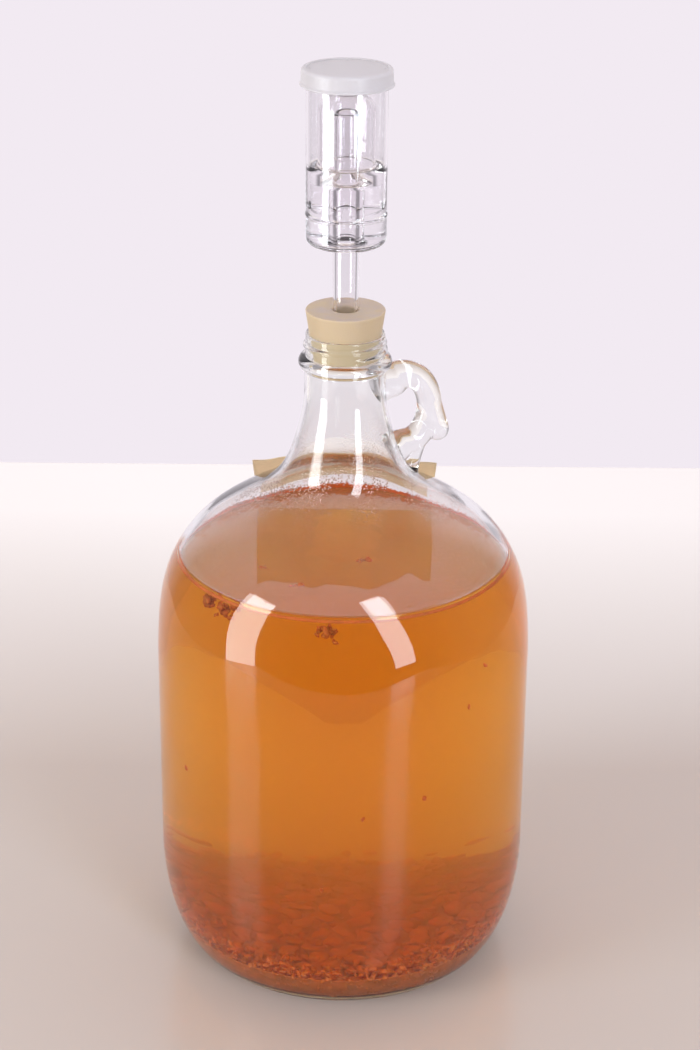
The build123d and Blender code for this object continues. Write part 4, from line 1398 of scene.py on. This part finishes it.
class JUG_OT_stage(bpy.types.Operator):
    """Stage: a pale table, a backdrop wall, two tall soft lamps, a pale room and the camera."""

    bl_idname = "jug.stage"
    bl_label = "Stage"

    def execute(self, context):
        scene = context.scene
        corners = np.array([(-1, -1, 0), (1, -1, 0), (1, 1, 0), (-1, 1, 0)])
        upright = np.array([(-1, 1, 0), (1, 1, 0), (1, 1, 1), (-1, 1, 1)])
        face = [np.array([[0, 1, 2, 3]])]
        table = new_object("table_top", corners * (*TABLE_HALF_SIZE, 0), face, False)
        table.data.materials.append(self.table_material())
        upright = upright * (WALL_HALF_WIDTH, WALL_DISTANCE, WALL_HEIGHT)
        wall = new_object("backdrop_wall", upright, face, False)
        wall.data.materials.append(self.wall_material())
        self.lamps(scene)
        self.room(scene)
        self.camera(scene)
        scene.view_settings.view_transform = "Standard"
        cycles = scene.cycles
        cycles.max_bounces = cycles.transmission_bounces = cycles.transparent_max_bounces = 24
        cycles.glossy_bounces = cycles.volume_bounces = 8
        return {"FINISHED"}

    @staticmethod
    def table_material():
        """Lacquered board, rolled and polished: pale, with a soft gloss that mirrors at low angles, and
        painted light that makes it paler towards the back.
        """
        made, add = material("lacquered_table_top")
        place = add("TexCoord", output="Object")
        marks = add("TexNoise", {"Vector": place, "Scale": 1 / (90 * MM), "Detail": 3.0})
        # Painted light: from 0.15 m to 0.5 m behind the axis the colour turns to the far table's paler one,
        # for the wall's light on it
        far = add("MapRange", [add("SeparateXYZ", [place], "Y"), 0.15, 0.5, 0.0, 1.0])
        paint = add("Mix", {0: far, 6: colours().table, 7: colours().table_far}, 2, data_type="RGBA")
        bump = add("Bump", {"Height": marks, "Distance": 0.1 * MM})
        inputs = {"Base Color": paint, "Roughness": 0.22, "IOR": 1.5, "Normal": bump}
        add("OutputMaterial", {"Surface": add("BsdfPrincipled", inputs)})
        return made

    @staticmethod
    def wall_material():
        """Pale painted wall: plain to the eye and open from behind. To gloss and through glass it glows
        with painted shade, dimmer towards its sides, and to diffuse and volume rays it glows brighter, as a
        lamp.
        """
        made, add = material("painted_backdrop")
        side = add("SeparateXYZ", [add("TexCoord", output="Object")], "X")
        away = add("Math", [side], operation="ABSOLUTE")
        # Painted shade: as gloss and glass see it, the wall's glow falls from 1 to 0.35 towards its sides
        edge = add("MapRange", [away, 0.42, 0.85, 1.0, 0.35])
        paint = colours().wall
        shown = add("Emission", {"Color": paint, "Strength": edge})
        # The wall glows 1.9 times as bright to diffuse and volume rays as to the eye, and so lights the
        # table, the labels and the brew as a lamp
        rays = {
            "Is Volume Scatter Ray": add("Emission", {"Color": paint, "Strength": 1.9}),
            "Is Diffuse Ray": add("Emission", {"Color": (1.0, 0.98, 0.97, 1), "Strength": 1.9}),
            "Is Camera Ray": add("Emission", {"Color": paint, "Strength": 1.0}),
        }
        front = by_ray(add, shown, rays)
        behind = add("NewGeometry", output="Backfacing")
        add("OutputMaterial", {"Surface": add("MixShader", [behind, front, add("BsdfTransparent")])})
        return made

    @staticmethod
    def lamps(scene):
        """Two tall softboxes in front, left and right, from table level to well above the airlock."""
        for name, azimuth, wide, tall, foot, watts, lean, hue in (
            ("left_softbox", -61.5, 0.40, 1.08, -0.14, 10.4, 0.0, (0.94, 1.0, 1.0)),
            ("right_softbox", 31.0, 0.29, 1.38, -0.04, 9.6, 10.6, (0.9, 1.0, 1.08)),
        ):
            light = bpy.data.lights.new(name, "AREA")
            light.shape = "RECTANGLE"
            light.size, light.size_y = wide, tall
            light.energy = watts
            light.color = hue
            lamp = bpy.data.objects.new(name, light)
            scene.collection.objects.link(lamp)
            turn = math.radians(azimuth)
            aside, forward = LAMP_DISTANCE * math.sin(turn), LAMP_DISTANCE * math.cos(turn)
            place = Vector((aside, -forward, foot + tall / 2))
            aim = (LAMP_AIM - place).to_track_quat("-Z", "Y")
            tilt = Matrix.Rotation(math.radians(lean), 4, "Z")
            lamp.matrix_world = Matrix.Translation(place) @ aim.to_matrix().to_4x4() @ tilt
            lamp.visible_camera = False

    @staticmethod
    def room(scene):
        """Pale room light: bright towards the wall, dimmer behind the camera, plain to the eye."""
        scene.world = bpy.data.worlds.new("pale_room")
        add = emptied(scene.world)
        depth = add("SeparateXYZ", [add("TexCoord", output="Generated")], "Y")
        light = add("MapRange", [depth, -0.9, -0.2, 0.15, 0.4])
        room = add("Background", {"Color": colours().wall, "Strength": light})
        plain = add("Background", {"Color": colours().wall, "Strength": 1.0})
        shown = by_ray(add, room, {"Is Diffuse Ray": plain, "Is Camera Ray": plain})
        add("OutputWorld", {"Surface": shown})

    @staticmethod
    def camera(scene):
        """Camera fitted to the photograph: about a metre off, looking down 23.5 degrees."""
        data = bpy.data.cameras.new("photo_camera")
        data.sensor_fit = "VERTICAL"
        data.sensor_height = FRAME_HEIGHT
        data.lens = CAMERA_LENS
        camera = bpy.data.objects.new("photo_camera", data)
        scene.collection.objects.link(camera)
        tilt = Matrix.Rotation(CAMERA_TILT, 4, "X")
        roll = Matrix.Rotation(CAMERA_ROLL, 4, "Z")
        camera.matrix_world = Matrix.Translation(CAMERA_PLACE) @ tilt @ roll
        scene.camera = camera


class JUG_PT_pieces(bpy.types.Panel):
    """Sizes, colours and pieces of the jug."""

    bl_idname = "JUG_PT_pieces"
    bl_label = "Fermentation jug"
    bl_space_type = "VIEW_3D"
    bl_region_type = "UI"
    bl_category = "Jug"

    def draw(self, context):
        layout = self.layout
        for group in (context.scene.jug_sizes, context.scene.airlock_sizes, context.scene.jug_colours):
            box = layout.box()
            for name in group.__annotations__:
                box.prop(group, name)
        for operator in OPERATORS:
            layout.operator(operator.bl_idname)


OPERATORS = (
    JUG_OT_stage,
    JUG_OT_glass_jug,
    JUG_OT_brew,
    JUG_OT_pulp,
    JUG_OT_stopper,
    JUG_OT_airlock_body,
    JUG_OT_airlock_float,
    JUG_OT_airlock_water,
    JUG_OT_airlock_cap,
    JUG_OT_labels,
)
CLASSES = (JugSizes, AirlockSizes, JugColours) + OPERATORS + (JUG_PT_pieces,)


def register():
    """Add the classes and the scene's settings."""
    for made in CLASSES:
        bpy.utils.register_class(made)
    bpy.types.Scene.jug_sizes = bpy.props.PointerProperty(type=JugSizes)
    bpy.types.Scene.airlock_sizes = bpy.props.PointerProperty(type=AirlockSizes)
    bpy.types.Scene.jug_colours = bpy.props.PointerProperty(type=JugColours)


def unregister():
    """Take them away again."""
    for name in ("jug_sizes", "airlock_sizes", "jug_colours"):
        delattr(bpy.types.Scene, name)
    for made in reversed(CLASSES):
        bpy.utils.unregister_class(made)


def main():
    """Build every piece in order."""
    register()
    for operator in OPERATORS:
        group, name = operator.bl_idname.split(".")
        getattr(getattr(bpy.ops, group), name)()


if __name__ == "__main__":
    main()
